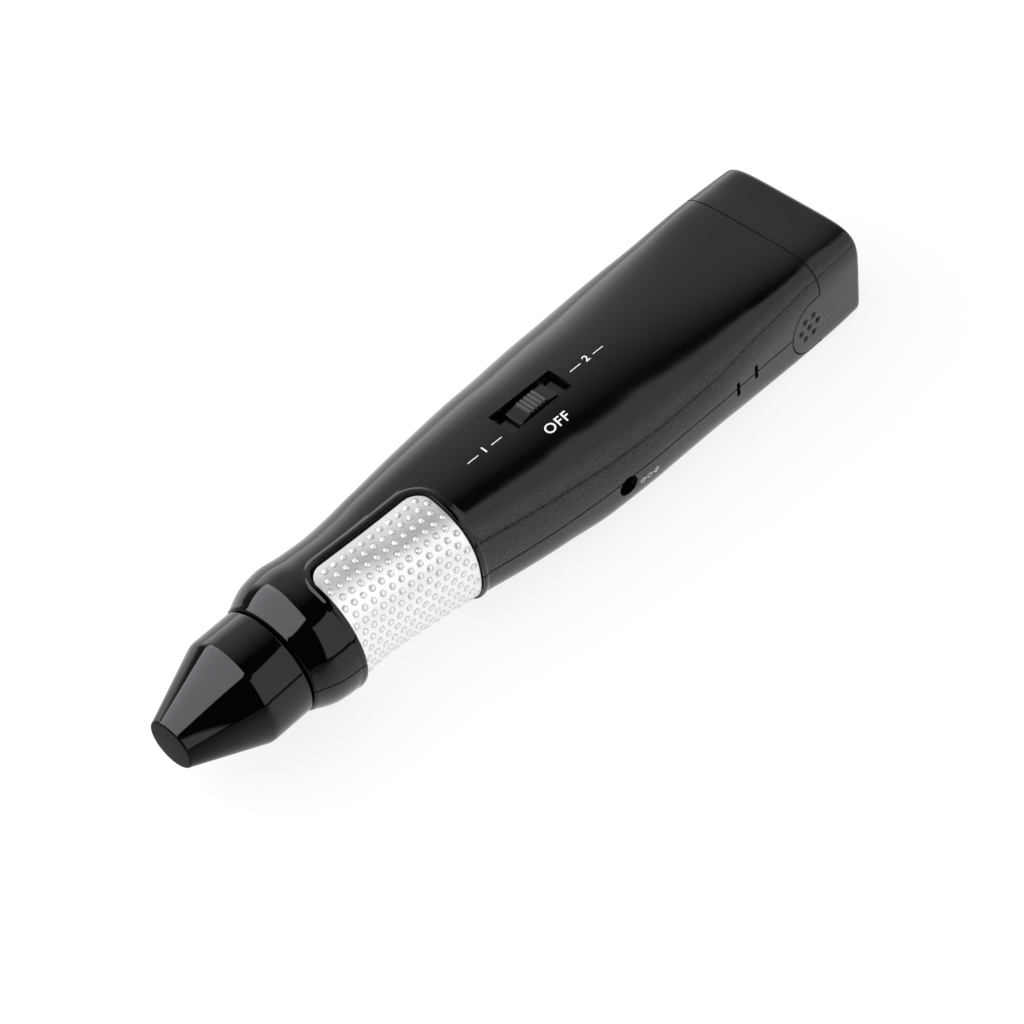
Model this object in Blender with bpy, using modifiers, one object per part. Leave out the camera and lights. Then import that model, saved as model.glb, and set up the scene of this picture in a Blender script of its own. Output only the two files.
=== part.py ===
"""Hand-held diamond tester with a pull-off nose cap, a touch plate and a 9 V battery.

Metres, +Z up. +X runs from the nose to the battery end. The -Y side has the touch plate and
the power inlet. The origin is at the middle of the box, on the surface it rests on.
Positions along the body are first counted from the tip of the nose cap: the empty "tip"
stands there and carries every piece.
"""

import math

import bmesh
import bpy
from mathutils import Vector

# Fits
GAP = 0.0003
SLIDE_GAP = 0.00036
OVERRUN = 0.002
BITE = 0.0004
MERGE = 0.00001

# Battery, which sets the size of the handle
BATTERY_LENGTH = 0.0454
BATTERY_WIDTH = 0.0265
BATTERY_HEIGHT = 0.0175
BATTERY_EDGE = 0.0020
BATTERY_PLAY = 0.00035
BATTERY_SIDE_SPACE = 0.0025
TERMINAL_LENGTH = 0.0031
TERMINAL_RADIUS = 0.0040
TERMINAL_PITCH = 0.0127

# Case
LENGTH = 0.1700
WALL = 0.0016
END_WALL = 0.0018
REAR_TOP_SHARE = 0.728
REAR_WIDTH_SHARE = 0.890
HEIGHT = (BATTERY_HEIGHT + 2 * WALL + 2 * BATTERY_PLAY) / REAR_TOP_SHARE
WIDTH = (BATTERY_WIDTH + 2 * WALL + 2 * BATTERY_SIDE_SPACE) / REAR_WIDTH_SHARE
SQUARENESS_SHARE = 0.12
REAR_EDGE = 0.0014

# Nose
CAP_LENGTH = 0.0243
CAP_SEAM = 0.0005
CAP_WALL = 0.0012
CAP_END_WALL = 0.0016
CAP_RADIUS_SHARE = 0.388
CAP_RADIUS = CAP_RADIUS_SHARE * HEIGHT
CAP_CONE_LENGTH = 0.0141
CAP_TIP_RADIUS = 0.0053
CAP_TIP_EDGE = 0.0012
CAP_SHOULDER = 0.0012
SHOULDER_FALL_SHARES = (0.35, 1.5)
TIP_EDGE_SHARES = (0.45, 0.8, 1.15)
NOSE_Z_SHARE = 0.5204
NOSE_Z = NOSE_Z_SHARE * HEIGHT
COLLAR_FRONT = CAP_LENGTH + CAP_SEAM
CONE_FRONT = 0.0046
CONE_WALL = 0.0018
CONE_BORE = 0.0036
CONE_STEP = 0.0080
CONE_FLARE_SHARE = 0.9
NECK_STEP = 0.00125
FLANGE = 0.0018
FLANGE_LIP = 0.0018
BARREL_FRONT = 0.0042
BARREL_LENGTH = 0.0184
BARREL_RADIUS = 0.0020
BARREL_WALL = 0.00065
BARREL_END = 0.0010
BARREL_PLUG = 0.0040
PIN_RADIUS = 0.0006
PIN_REACH = 0.0020
PIN_COLLAR = 0.0020
PIN_POINT_SHARES = (0.30, 0.75)
SPRING_WIRE = 0.0002
SPRING_TURNS = 8
SPRING_STEPS = 10
RING_LENGTH = 0.0030
BUSH_LENGTH = 0.0030
BUSH_WALL = 0.0020
NOSE_BOARD_X = 0.0210
NOSE_BOARD_THICKNESS = 0.0012
LED_RADIUS = 0.0015
LED_FLANGE = 0.0004
LED_LENGTH = 0.0075
LED_OFFSET = 0.0043
LED_NOSE_SHARES = (0.2, 0.3, 0.7)

# Touch plate and the raised rim round it
WINDOW_BEHIND_COLLAR = 0.0108
WINDOW_FRONT = COLLAR_FRONT + WINDOW_BEHIND_COLLAR
WINDOW_LENGTH = 0.0291
WINDOW_CORNER = 0.0040
WINDOW_OVER = 0.0003
PLATE_SINK = 0.0005
PLATE_THICKNESS = 0.0008
RIM_RADIUS = 0.0019
RIM_RISE = 0.0005
RIM_TOP_SHARE = 0.90
RIM_END_SHARE = 0.30
RIM_RUNS = 6
RIM_CORNER_STEPS = 5
WINDOW_CORNER_STEPS = 6
RIM_SIDE_STEPS = 14

# Switch
SWITCH_X_SHARE = 0.4785
SWITCH_Y = -0.0008
POCKET_LENGTH = 0.0164
POCKET_WIDTH = 0.0062
POCKET_DEPTH = 0.0020
POCKET_SLOPE = 0.0005
POCKET_FLOOR = 0.0010
POCKET_WALL = 0.0012
KNOB_TRAVEL = 0.0019
KNOB_THICKNESS = 0.0008
KNOB_RISE = 0.0012
KNOB_GRIP = 0.0050
RIB_COUNT = 5
RIB_HEIGHT = 0.0004
RIB_CREST_SHARE = 0.56
STEM_LENGTH = 0.0016
STEM_WIDTH = 0.0020
STEM_REACH = 0.0014
SWITCH_HEIGHT = 0.0048
SWITCH_LENGTH = 0.0120
SWITCH_WIDTH = 0.0060

# Boards and what stands on them
BOARD_BEHIND_WINDOW_FRONT = 0.0064
BOARD_FRONT = WINDOW_FRONT + BOARD_BEHIND_WINDOW_FRONT
BOARD_STEPS = 8
BOARD_THICKNESS = 0.0016
BOARD_CLEARANCE = 0.0006
BOARD_GAP = 0.0020
BUZZER_BEHIND_BOARD_FRONT = 0.01605
BUZZER_RADIUS = 0.0058
BUZZER_HEIGHT = 0.0052
BUZZER_HOLE = 0.0010
CHIP_BEHIND_WINDOW = 0.00874
CHIP_Y_SHARE = -0.18
CHIP_SIZE = 0.0085
CHIP_HEIGHT = 0.0015
CAPACITOR_BEHIND_WINDOW = 0.01470
CAPACITOR_Y_SHARE = 0.42
CAPACITOR_RADIUS = 0.0028
CAPACITOR_HEIGHT = 0.0048
REGULATOR_AHEAD_OF_BOARD_REAR = 0.01968
REGULATOR_Y_SHARE = 0.53
REGULATOR_LENGTH = 0.0065
REGULATOR_WIDTH = 0.0060
REGULATOR_HEIGHT = 0.0023
CONTACT_BEHIND_BOARD_FRONT = 0.00821
CONTACT_WIDTH = 0.0030
CONTACT_THICKNESS = 0.0004
CONTACT_FOOT = 0.0040
RIBBON_THICKNESS = 0.0005
RIBBON_WIDTH = 0.0060
RIBBON_DROP = 0.0030
RIBBON_STEPS = 16

# Power inlet
JACK_AHEAD_OF_BOARD_REAR = 0.0140
JACK_Z_SHARE = 0.340
JACK_HOLE = 0.00225
JACK_BORE = 0.0021
JACK_DEPTH = 0.0090
JACK_PIN = 0.00065
JACK_SNOUT = 0.0032
JACK_LENGTH = 0.0110
JACK_WIDTH = 0.0090

# Side slots and the battery cover
SLOT_X_SHARES = (0.7314, 0.7700)
SLOT_Z_SHARE = 0.366
SLOT_WIDTH = 0.0010
SLOT_HEIGHT = 0.0035
SEAM_SHARE = 0.9098
TONGUE_X_SHARE = 0.8918
TONGUE_Z_SHARE = 0.299
TONGUE_RADIUS = 0.0061
COVER_RELIEF = 0.0004
GRIP_RADIUS = 0.00085
GRIP_PITCH = 0.0026
GRIPS_AROUND = 6
CLIP_BACK = 0.0031
CLIP_HEIGHT = 0.0125
CLIP_WIDTH = 0.0250
LEAD_RADIUS = 0.0006
LEAD_Y = 0.0030
LEAD_STEPS = 5
PAD_LENGTH = 0.0180
PAD_THICKNESS = 0.0022
PAD_HEIGHT = 0.0100

# Screws
POST_RADIUS = 0.0026
POST_BEHIND_WINDOW = 0.0073
POST_AHEAD_OF_BOARD_REAR = 0.00444
POST_Y_SHARE = 0.70
SCREW_RADIUS = 0.0010
SCREW_HEAD_RADIUS = 0.0020
SCREW_HEAD = 0.0016
SCREW_DOWN = 0.0060
SCREW_UP = 0.0055
BOARD_POST_RADIUS = 0.0022
BOARD_POST_BEHIND_FRONT = 0.00255
BOARD_POST_BEHIND_WINDOW = 0.00366
BOARD_POST_AHEAD_OF_REAR = 0.00697
BOARD_POST_Y_SHARES = (0.52, 0.50, 0.52, -0.52)
BOARD_SCREW_RADIUS = 0.0008
BOARD_SCREW_HEAD_RADIUS = 0.0016
BOARD_SCREW_HEAD = 0.0010
BOARD_SCREW_LENGTH = 0.0060

# The case's sections. Each row: place between collar front and rear end, half width over half
# WIDTH, then top, bottom and parting height over HEIGHT, then the roundness exponents of the
# upper and lower halves (2 is an ellipse, more is squarer).
SECTION_SHARES = (
    (0.0000, 0.564, 0.895, 0.146, 0.520, 2.00, 2.0),
    (0.0028, 0.595, 0.915, 0.126, 0.520, 2.00, 2.0),
    (0.0117, 0.641, 0.946, 0.095, 0.520, 2.00, 2.0),
    (0.0372, 0.703, 0.986, 0.054, 0.520, 2.00, 2.0),
    (0.0634, 0.723, 1.000, 0.041, 0.520, 2.00, 2.0),
    (0.0895, 0.682, 0.986, 0.053, 0.510, 2.10, 2.0),
    (0.1315, 0.667, 0.969, 0.058, 0.497, 2.10, 2.0),
    (0.1811, 0.687, 0.951, 0.061, 0.480, 2.20, 2.2),
    (0.2307, 0.720, 0.939, 0.060, 0.463, 2.40, 2.4),
    (0.2865, 0.780, 0.930, 0.049, 0.444, 2.40, 2.5),
    (0.3499, 0.849, 0.918, 0.027, 0.422, 2.35, 2.7),
    (0.4201, 0.913, 0.900, 0.000, 0.407, 2.30, 2.8),
    (0.4979, 0.962, 0.886, -0.010, 0.400, 2.15, 3.3),
    (0.5895, 0.997, 0.866, -0.010, 0.400, 2.15, 3.3),
    (0.6880, 1.000, 0.832, -0.010, 0.390, 2.40, 3.4),
    (0.8003, 0.959, 0.789, -0.010, 0.347, 3.30, 4.9),
    (0.9098, 0.923, 0.755, -0.010, 0.293, 5.00, 7.3),
    (0.9552, 0.908, 0.736, -0.010, 0.274, 5.60, 8.2),
    (1.0000, 0.887, 0.727, -0.010, 0.259, 6.00, 8.8),
)
COLLAR_RING_SHARES = (
    0.0, 0.0028, 0.0065, 0.0117, 0.0200, 0.0285, 0.0372, 0.0460, 0.0545, 0.0634, 0.0720, 0.0805, 0.0895,
)
RINGS_BEHIND = 24
SIDES = 18
TURNED_SIDES = 36


# Curves and sections

def along(share):
    """Distance from the tip of a place between the collar's front and the rear end."""
    return COLLAR_FRONT + share * (LENGTH - COLLAR_FRONT)


def column(index, share):
    """Reads one column of the sections smoothly, without overshoot between the rows."""
    xs = [row[0] for row in SECTION_SHARES]
    ys = [row[index] for row in SECTION_SHARES]
    share = min(max(share, xs[0]), xs[-1])
    steps = [b - a for a, b in zip(xs, xs[1:])]
    slopes = [(b - a) / s for a, b, s in zip(ys, ys[1:], steps)]
    tangents = [slopes[0]]
    for i in range(1, len(slopes)):
        left, right = slopes[i - 1], slopes[i]
        if left * right <= 0:
            tangents.append(0.0)
        else:
            w1 = 2 * steps[i] + steps[i - 1]
            w2 = steps[i] + 2 * steps[i - 1]
            tangents.append((w1 + w2) / (w1 / left + w2 / right))
    tangents.append(slopes[-1])
    i = 0
    while i < len(steps) - 1 and share > xs[i + 1]:
        i += 1
    t = (share - xs[i]) / steps[i]
    return ((2 * t ** 3 - 3 * t ** 2 + 1) * ys[i] + (t ** 3 - 2 * t ** 2 + t) * steps[i] * tangents[i]
            + (3 * t ** 2 - 2 * t ** 3) * ys[i + 1] + (t ** 3 - t ** 2) * steps[i] * tangents[i + 1])


def section(x, inset=0.0):
    """Half width, height over and under the parting line, its height and the exponents at x."""
    share = (x - COLLAR_FRONT) / (LENGTH - COLLAR_FRONT)
    wide = column(1, share) * WIDTH / 2 - inset
    parting = column(4, share) * HEIGHT
    over = column(2, share) * HEIGHT - parting - inset
    under = parting - column(3, share) * HEIGHT - inset
    upper = column(5, share)
    lower = column(6, share)
    if inset > 0:
        upper *= 1 + SQUARENESS_SHARE * (upper - 2)
        lower *= 1 + SQUARENESS_SHARE * (lower - 2)
    return wide, over, under, parting, upper, lower


def ring(x, inset=0.0, rear=False):
    """The section's outline at x: starts at +Y on the parting line and goes over the top. The
    rear end's rings are drawn in without getting squarer."""
    wide, over, under, parting, upper, lower = section(x, inset)
    if rear:
        upper, lower = section(x)[4:]
    points = []
    for i in range(2 * SIDES):
        angle = math.pi * i / SIDES
        c, s = math.cos(angle), math.sin(angle)
        power = 2 / (upper if i <= SIDES else lower)
        high = over if s >= 0 else under
        y = wide * math.copysign(abs(c) ** power, c)
        z = parting + high * math.copysign(abs(s) ** power, s)
        points.append(Vector((x, y, max(z, max(inset, 0.0)))))
    return points


def half_width(x, z, inset=0.0):
    """Half width of the section at x and height z."""
    wide, over, under, parting, upper, lower = section(x, inset)
    high, power = (over, upper) if z > parting else (under, lower)
    return wide * (1 - min(abs(z - parting) / high, 1.0) ** power) ** (1 / power)


def top_at(x, y, inset=0.0):
    """Height of the upper surface at x and y."""
    wide, over, _, parting, upper, _ = section(x, inset)
    return parting + over * (1 - min(abs(y) / wide, 1.0) ** upper) ** (1 / upper)


def bottom_at(x, y, inset=0.0):
    """Height of the lower surface at x and y."""
    wide, _, under, parting, _, lower = section(x, inset)
    return max(parting - under * (1 - min(abs(y) / wide, 1.0) ** lower) ** (1 / lower), inset)


def wrapped(x, distance):
    """A point on the surface, a distance from the top centre line toward -Y, and its normal."""
    outline = ring(x)
    quarter = SIDES // 2
    points = [outline[(quarter + i) % (2 * SIDES)] for i in range(-2, SIDES + 3)]
    run = -sum((points[i + 1] - points[i]).length for i in range(2))
    for a, b in zip(points, points[1:]):
        step = (b - a).length
        if run + step >= distance or b is points[-1]:
            point = a.lerp(b, (distance - run) / step)
            side = (b - a) / step
            return point, Vector((0, -side.z, side.y)) * -1
        run += step


def girth(x):
    """Distance over the surface from the top centre line to the bottom centre line."""
    outline = ring(x)
    quarter = SIDES // 2
    return sum((outline[quarter + i + 1] - outline[quarter + i]).length for i in range(SIDES))


def arc(cx, cy, radius, start, end, count):
    """Points on an arc, angles in degrees."""
    turns = [math.radians(start + (end - start) * i / count) for i in range(count + 1)]
    return [(cx + radius * math.cos(a), cy + radius * math.sin(a)) for a in turns]


# Objects

for old in list(bpy.data.objects):
    bpy.data.objects.remove(old, do_unlink=True)

parts = bpy.data.collections.new("diamond_tester")
cutters = bpy.data.collections.new("cutters")
bpy.context.scene.collection.children.link(parts)
bpy.context.scene.collection.children.link(cutters)
tip = bpy.data.objects.new("tip", None)
tip.location = (-LENGTH / 2, 0, 0)
parts.objects.link(tip)


def add(name, data, look=None, location=(0, 0, 0), rotation=(0, 0, 0)):
    """Puts mesh or curve data in the scene: a part when it has a look, else a cutter."""
    thing = bpy.data.objects.new(name, data)
    thing.location = location
    thing.rotation_euler = rotation
    thing.parent = tip
    if look is None:
        cutters.objects.link(thing)
        thing.hide_render = True
        thing.display_type = "WIRE"
    else:
        parts.objects.link(thing)
        colour, roughness, metallic = look
        material = bpy.data.materials.new(name)
        material.use_nodes = True
        shader = material.node_tree.nodes["Principled BSDF"]
        shader.inputs["Base Color"].default_value = (*colour, 1.0)
        shader.inputs["Roughness"].default_value = roughness
        shader.inputs["Metallic"].default_value = metallic
        data.materials.append(material)
    return thing


def mesh_from(bm, name, smooth=False):
    mesh = bpy.data.meshes.new(name)
    bmesh.ops.recalc_face_normals(bm, faces=bm.faces)
    bm.to_mesh(mesh)
    bm.free()
    if smooth:
        mesh.shade_smooth()
        mesh.set_sharp_from_angle(angle=math.radians(35))
    return mesh


def loft(name, rings, look=None):
    """A closed body through rings of points, capped at both ends."""
    bm = bmesh.new()
    rows = [[bm.verts.new(p) for p in points] for points in rings]
    for a, b in zip(rows, rows[1:]):
        for i in range(len(a)):
            j = (i + 1) % len(a)
            bm.faces.new((a[i], a[j], b[j], b[i]))
    bm.faces.new(rows[0])
    bm.faces.new(rows[-1])
    bmesh.ops.remove_doubles(bm, verts=bm.verts, dist=MERGE)
    bmesh.ops.dissolve_degenerate(bm, edges=bm.edges, dist=MERGE)
    return add(name, mesh_from(bm, name, smooth=True), look)


def prism(name, outline, axis, low, high, look=None):
    """A flat outline pushed along an axis. Its points are in the two other axes, in order."""
    bm = bmesh.new()
    places = {"X": lambda p: (low, p[0], p[1]), "Y": lambda p: (p[0], low, p[1]),
              "Z": lambda p: (p[0], p[1], low)}
    ways = {"X": (1, 0, 0), "Y": (0, 1, 0), "Z": (0, 0, 1)}
    face = bm.faces.new([bm.verts.new(places[axis](p)) for p in outline])
    pushed = bmesh.ops.extrude_face_region(bm, geom=[face])
    moved = [v for v in pushed["geom"] if isinstance(v, bmesh.types.BMVert)]
    bmesh.ops.translate(bm, verts=moved, vec=Vector(ways[axis]) * (high - low))
    return add(name, mesh_from(bm, name), look)


def box(name, low, high, look=None, edge=0.0):
    bm = bmesh.new()
    bmesh.ops.create_cube(bm, size=1.0)
    size = Vector(high) - Vector(low)
    bmesh.ops.scale(bm, verts=bm.verts, vec=size)
    bmesh.ops.translate(bm, verts=bm.verts, vec=Vector(low) + size / 2)
    thing = add(name, mesh_from(bm, name), look)
    if edge > 0:
        bevel = thing.modifiers.new("edges", "BEVEL")
        bevel.width = edge
        bevel.segments = 2
    return thing


def rod(name, start, end, radius, look=None, sides=24):
    """A cylinder from one point to another."""
    start, end = Vector(start), Vector(end)
    bm = bmesh.new()
    bmesh.ops.create_cone(bm, cap_ends=True, segments=sides, radius1=radius, radius2=radius,
                          depth=(end - start).length)
    turn = (end - start).to_track_quat("Z", "Y").to_matrix().to_4x4()
    bmesh.ops.transform(bm, matrix=turn, verts=bm.verts)
    bmesh.ops.translate(bm, verts=bm.verts, vec=(start + end) / 2)
    return add(name, mesh_from(bm, name, smooth=True), look)


def rods(name, ends, look=None, sides=16):
    """Several separate cylinders in one body: each is (start, end, radius)."""
    bm = bmesh.new()
    for start, end, radius in ends:
        start, end = Vector(start), Vector(end)
        made = bmesh.ops.create_cone(bm, cap_ends=True, segments=sides, radius1=radius,
                                     radius2=radius, depth=(end - start).length)
        turn = (end - start).to_track_quat("Z", "Y").to_matrix().to_4x4()
        bmesh.ops.transform(bm, matrix=turn, verts=made["verts"])
        bmesh.ops.translate(bm, verts=made["verts"], vec=(start + end) / 2)
    return add(name, mesh_from(bm, name, smooth=True), look)


def turned(name, profile, look=None, centre=(0, 0), sides=TURNED_SIDES, closed=True):
    """A body turned about a line along +X. Profile: (distance from the tip, radius), outer side
    first, from the rear to the front. The line is at centre, its y and z."""
    bm = bmesh.new()
    verts = [bm.verts.new((radius, 0, x)) for x, radius in profile]
    pairs = list(zip(verts, verts[1:]))
    if closed:
        pairs.append((verts[-1], verts[0]))
    for a, b in pairs:
        bm.edges.new((a, b))
    mesh = bpy.data.meshes.new(name)
    bm.to_mesh(mesh)
    bm.free()
    thing = add(name, mesh, look, location=(0, centre[0], centre[1]), rotation=(0, math.pi / 2, 0))
    screw = thing.modifiers.new("turn", "SCREW")
    screw.axis = "Z"
    screw.angle = 2 * math.pi
    screw.steps = sides
    screw.render_steps = sides
    screw.use_merge_vertices = True
    screw.merge_threshold = MERGE
    screw.use_smooth_shade = True
    return thing


def wire(name, route, radius, look):
    """A round wire along points, with closed ends."""
    curve = bpy.data.curves.new(name, "CURVE")
    curve.dimensions = "3D"
    curve.bevel_depth = radius
    curve.bevel_resolution = 1
    curve.use_fill_caps = True
    spline = curve.splines.new("POLY")
    spline.points.add(len(route) - 1)
    for point, place in zip(spline.points, route):
        point.co = (*place, 1.0)
    return add(name, curve, look)


def boolean(target, other, operation="DIFFERENCE", solver="EXACT"):
    modifier = target.modifiers.new(other.name, "BOOLEAN")
    modifier.operation = operation
    modifier.solver = solver
    modifier.object = other
    return target


def baked(thing, name, look=None):
    """The evaluated shape of an object as a new welded body."""
    bpy.context.view_layer.update()
    graph = bpy.context.evaluated_depsgraph_get()
    mesh = bpy.data.meshes.new_from_object(thing.evaluated_get(graph))
    bm = bmesh.new()
    bm.from_mesh(mesh)
    bmesh.ops.remove_doubles(bm, verts=bm.verts, dist=MERGE)
    bpy.data.meshes.remove(mesh)
    return add(name, mesh_from(bm, name, smooth=True), look)


def blend(points, count):
    """A smooth route through the points (Catmull-Rom)."""
    points = [Vector(p) for p in points]
    padded = [2 * points[0] - points[1]] + points + [2 * points[-1] - points[-2]]
    route = []
    for i in range(1, len(padded) - 2):
        p0, p1, p2, p3 = padded[i - 1:i + 3]
        for k in range(count):
            t = k / count
            route.append(0.5 * (2 * p1 + (p2 - p0) * t + (2 * p0 - 5 * p1 + 4 * p2 - p3) * t ** 2
                                + (3 * p1 - 3 * p2 + p3 - p0) * t ** 3))
    route.append(points[-1])
    return route


BLACK = ((0.012, 0.012, 0.013), 0.32, 0.0)
DARK_GREY = ((0.030, 0.030, 0.032), 0.45, 0.0)
STEEL = ((0.62, 0.62, 0.63), 0.20, 1.0)
BRASS = ((0.78, 0.57, 0.24), 0.30, 1.0)
COPPER = ((0.85, 0.45, 0.28), 0.28, 1.0)
SCREW_STEEL = ((0.42, 0.42, 0.44), 0.35, 1.0)
BOARD_GREEN = ((0.020, 0.130, 0.055), 0.45, 0.0)
WHITE = ((0.75, 0.74, 0.70), 0.50, 0.0)
CLEAR = ((0.85, 0.88, 0.90), 0.10, 0.0)
VIOLET = ((0.35, 0.28, 0.70), 0.15, 0.0)
RED = ((0.55, 0.02, 0.02), 0.35, 0.0)
FOAM = ((0.10, 0.10, 0.11), 0.90, 0.0)

# Nose cap: a turned cup that pulls off forward over the nose cone.
cap_slope = (CAP_RADIUS - CAP_TIP_RADIUS) / (CAP_CONE_LENGTH + CAP_SHOULDER - CAP_TIP_EDGE)
cap_skin = CAP_WALL * math.sqrt(1 + cap_slope ** 2)
cap_bore = CAP_RADIUS - CAP_WALL
cap_inner_end = CAP_TIP_RADIUS - cap_skin + (CAP_END_WALL - CAP_TIP_EDGE) * cap_slope
cap_corner = CAP_END_WALL + (cap_bore - cap_inner_end) / cap_slope
cap_cone_end = CAP_CONE_LENGTH + CAP_SHOULDER
round_share = 1 - math.sqrt(0.5)
nose_cap = turned("nose_cap", [
    (CAP_END_WALL, 0.0),
    (CAP_END_WALL, cap_inner_end),
    (cap_corner, cap_bore),
    (CAP_LENGTH, cap_bore),
    (CAP_LENGTH, CAP_RADIUS - GAP),
    (CAP_LENGTH - GAP, CAP_RADIUS),
    (cap_cone_end + CAP_SHOULDER / 2, CAP_RADIUS),
    (cap_cone_end - CAP_SHOULDER / 4, CAP_RADIUS - SHOULDER_FALL_SHARES[0] * CAP_SHOULDER * cap_slope),
    (CAP_CONE_LENGTH - CAP_SHOULDER / 2, CAP_RADIUS - SHOULDER_FALL_SHARES[1] * CAP_SHOULDER * cap_slope),
    (CAP_TIP_EDGE, CAP_TIP_RADIUS),
    (CAP_TIP_EDGE * round_share, CAP_TIP_RADIUS - CAP_TIP_EDGE * TIP_EDGE_SHARES[0]),
    (CAP_TIP_EDGE * round_share ** 2, CAP_TIP_RADIUS - CAP_TIP_EDGE * TIP_EDGE_SHARES[1]),
    (0.0, CAP_TIP_RADIUS - CAP_TIP_EDGE * TIP_EDGE_SHARES[2]),
    (0.0, 0.0),
], BLACK, centre=(0, NOSE_Z), closed=False)

# Nose cone: carries the probe, passes through the collar and is held by its flange.
cone_front_radius = cap_inner_end + (CONE_FRONT - CAP_END_WALL) * cap_slope - SLIDE_GAP
spigot = cap_bore - SLIDE_GAP
cone_corner = CONE_FRONT + (spigot - cone_front_radius) / cap_slope
neck_front = COLLAR_FRONT - GAP
neck_rear = COLLAR_FRONT + END_WALL + GAP
neck = spigot - NECK_STEP
flange_radius = neck + FLANGE_LIP
cone_hollow = neck - CONE_WALL
cone_throat = CONE_BORE + FLANGE / 2
cone_flare = (cone_corner - CONE_STEP) * CONE_FLARE_SHARE
nose_cone = turned("nose_cone", [
    (neck_rear + FLANGE, flange_radius),
    (neck_rear, flange_radius),
    (neck_rear, neck),
    (neck_front, neck),
    (neck_front, spigot),
    (cone_corner, spigot),
    (CONE_FRONT, cone_front_radius),
    (CONE_FRONT, CONE_BORE),
    (CONE_STEP, CONE_BORE),
    (CONE_STEP, cone_throat),
    (CONE_STEP + cone_flare, cone_hollow),
    (neck_rear + FLANGE, cone_hollow),
], DARK_GREY, centre=(0, NOSE_Z))

# Light ring: clear plastic round the probe, flush with the cone's front.
ring_bore = BARREL_RADIUS + GAP
light_ring = turned("light_ring", [
    (CONE_FRONT + RING_LENGTH, CONE_BORE - GAP),
    (CONE_FRONT, CONE_BORE - GAP),
    (CONE_FRONT, ring_bore),
    (CONE_FRONT + RING_LENGTH, ring_bore),
], CLEAR, centre=(0, NOSE_Z))

# Probe: a barrel, a sprung copper pin in it and the coil spring behind the pin's collar.
barrel_rear = BARREL_FRONT + BARREL_LENGTH
barrel_bore = BARREL_RADIUS - BARREL_WALL
barrel_mouth = PIN_RADIUS + GAP
probe_barrel = turned("probe_barrel", [
    (barrel_rear, 0.0),
    (barrel_rear, BARREL_RADIUS),
    (BARREL_FRONT, BARREL_RADIUS),
    (BARREL_FRONT, barrel_mouth),
    (BARREL_FRONT + BARREL_END, barrel_mouth),
    (BARREL_FRONT + BARREL_END, barrel_bore),
    (barrel_rear - BARREL_PLUG, barrel_bore),
    (barrel_rear - BARREL_PLUG, 0.0),
], BRASS, centre=(0, NOSE_Z), sides=20, closed=False)
pin_front = BARREL_FRONT - PIN_REACH
pin_collar_front = BARREL_FRONT + BARREL_END + GAP
pin_rear = pin_collar_front + PIN_COLLAR
probe_tip = turned("probe_tip", [
    (pin_rear, 0.0),
    (pin_rear, barrel_bore - GAP),
    (pin_collar_front, barrel_bore - GAP),
    (pin_collar_front, PIN_RADIUS),
    (pin_front + PIN_RADIUS, PIN_RADIUS),
    (pin_front + PIN_RADIUS * PIN_POINT_SHARES[0], PIN_RADIUS * PIN_POINT_SHARES[1]),
    (pin_front, PIN_RADIUS * PIN_POINT_SHARES[0]),
    (pin_front, 0.0),
], COPPER, centre=(0, NOSE_Z), sides=16, closed=False)
spring_front = pin_rear + GAP + SPRING_WIRE
spring_rear = barrel_rear - BARREL_PLUG - GAP - SPRING_WIRE
spring_radius = barrel_bore - GAP - SPRING_WIRE
coil = []
for i in range(SPRING_TURNS * SPRING_STEPS + 1):
    turn = 2 * math.pi * i / SPRING_STEPS
    coil.append((spring_front + (spring_rear - spring_front) * i / (SPRING_TURNS * SPRING_STEPS),
                 spring_radius * math.cos(turn), NOSE_Z + spring_radius * math.sin(turn)))
probe_spring = wire("probe_spring", coil, SPRING_WIRE, SCREW_STEEL)

# Bush: insulates the probe from the cone, seated on the step in the cone's bore.
probe_bush = turned("probe_bush", [
    (CONE_STEP + GAP + BUSH_LENGTH, ring_bore + BUSH_WALL),
    (CONE_STEP + GAP, ring_bore + BUSH_WALL),
    (CONE_STEP + GAP, ring_bore),
    (CONE_STEP + GAP + BUSH_LENGTH, ring_bore),
], WHITE, centre=(0, NOSE_Z), sides=24)

# Nose board: a round board on the barrel, with two lamps that shine forward.
nose_board = turned("nose_board", [
    (NOSE_BOARD_X + NOSE_BOARD_THICKNESS, cone_hollow - GAP),
    (NOSE_BOARD_X, cone_hollow - GAP),
    (NOSE_BOARD_X, ring_bore),
    (NOSE_BOARD_X + NOSE_BOARD_THICKNESS, ring_bore),
], BOARD_GREEN, centre=(0, NOSE_Z), sides=28)


def lamp(name, z, look):
    rear = NOSE_BOARD_X - GAP
    front = rear - LED_LENGTH
    return turned(name, [
        (rear, 0.0),
        (rear, LED_RADIUS + LED_FLANGE),
        (rear - 2 * LED_FLANGE, LED_RADIUS + LED_FLANGE),
        (rear - 2 * LED_FLANGE, LED_RADIUS),
        (front + LED_RADIUS, LED_RADIUS),
        (front + LED_RADIUS * LED_NOSE_SHARES[1], LED_RADIUS * LED_NOSE_SHARES[2]),
        (front, LED_RADIUS * LED_NOSE_SHARES[0]),
        (front, 0.0),
    ], look, centre=(0, z), sides=16, closed=False)


uv_led = lamp("uv_led", NOSE_Z - LED_OFFSET, VIOLET)
signal_led = lamp("signal_led", NOSE_Z + LED_OFFSET, RED)

# Where the battery and its clip lie, which sets the board's rear end and the posts near it.
battery_rear = LENGTH - END_WALL - BATTERY_PLAY
battery_front = battery_rear - BATTERY_LENGTH
clip_rear = battery_front - GAP
clip_front = clip_rear - TERMINAL_LENGTH - CLIP_BACK
board_rear = clip_front - BOARD_GAP
window_rear = WINDOW_FRONT + WINDOW_LENGTH

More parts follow.
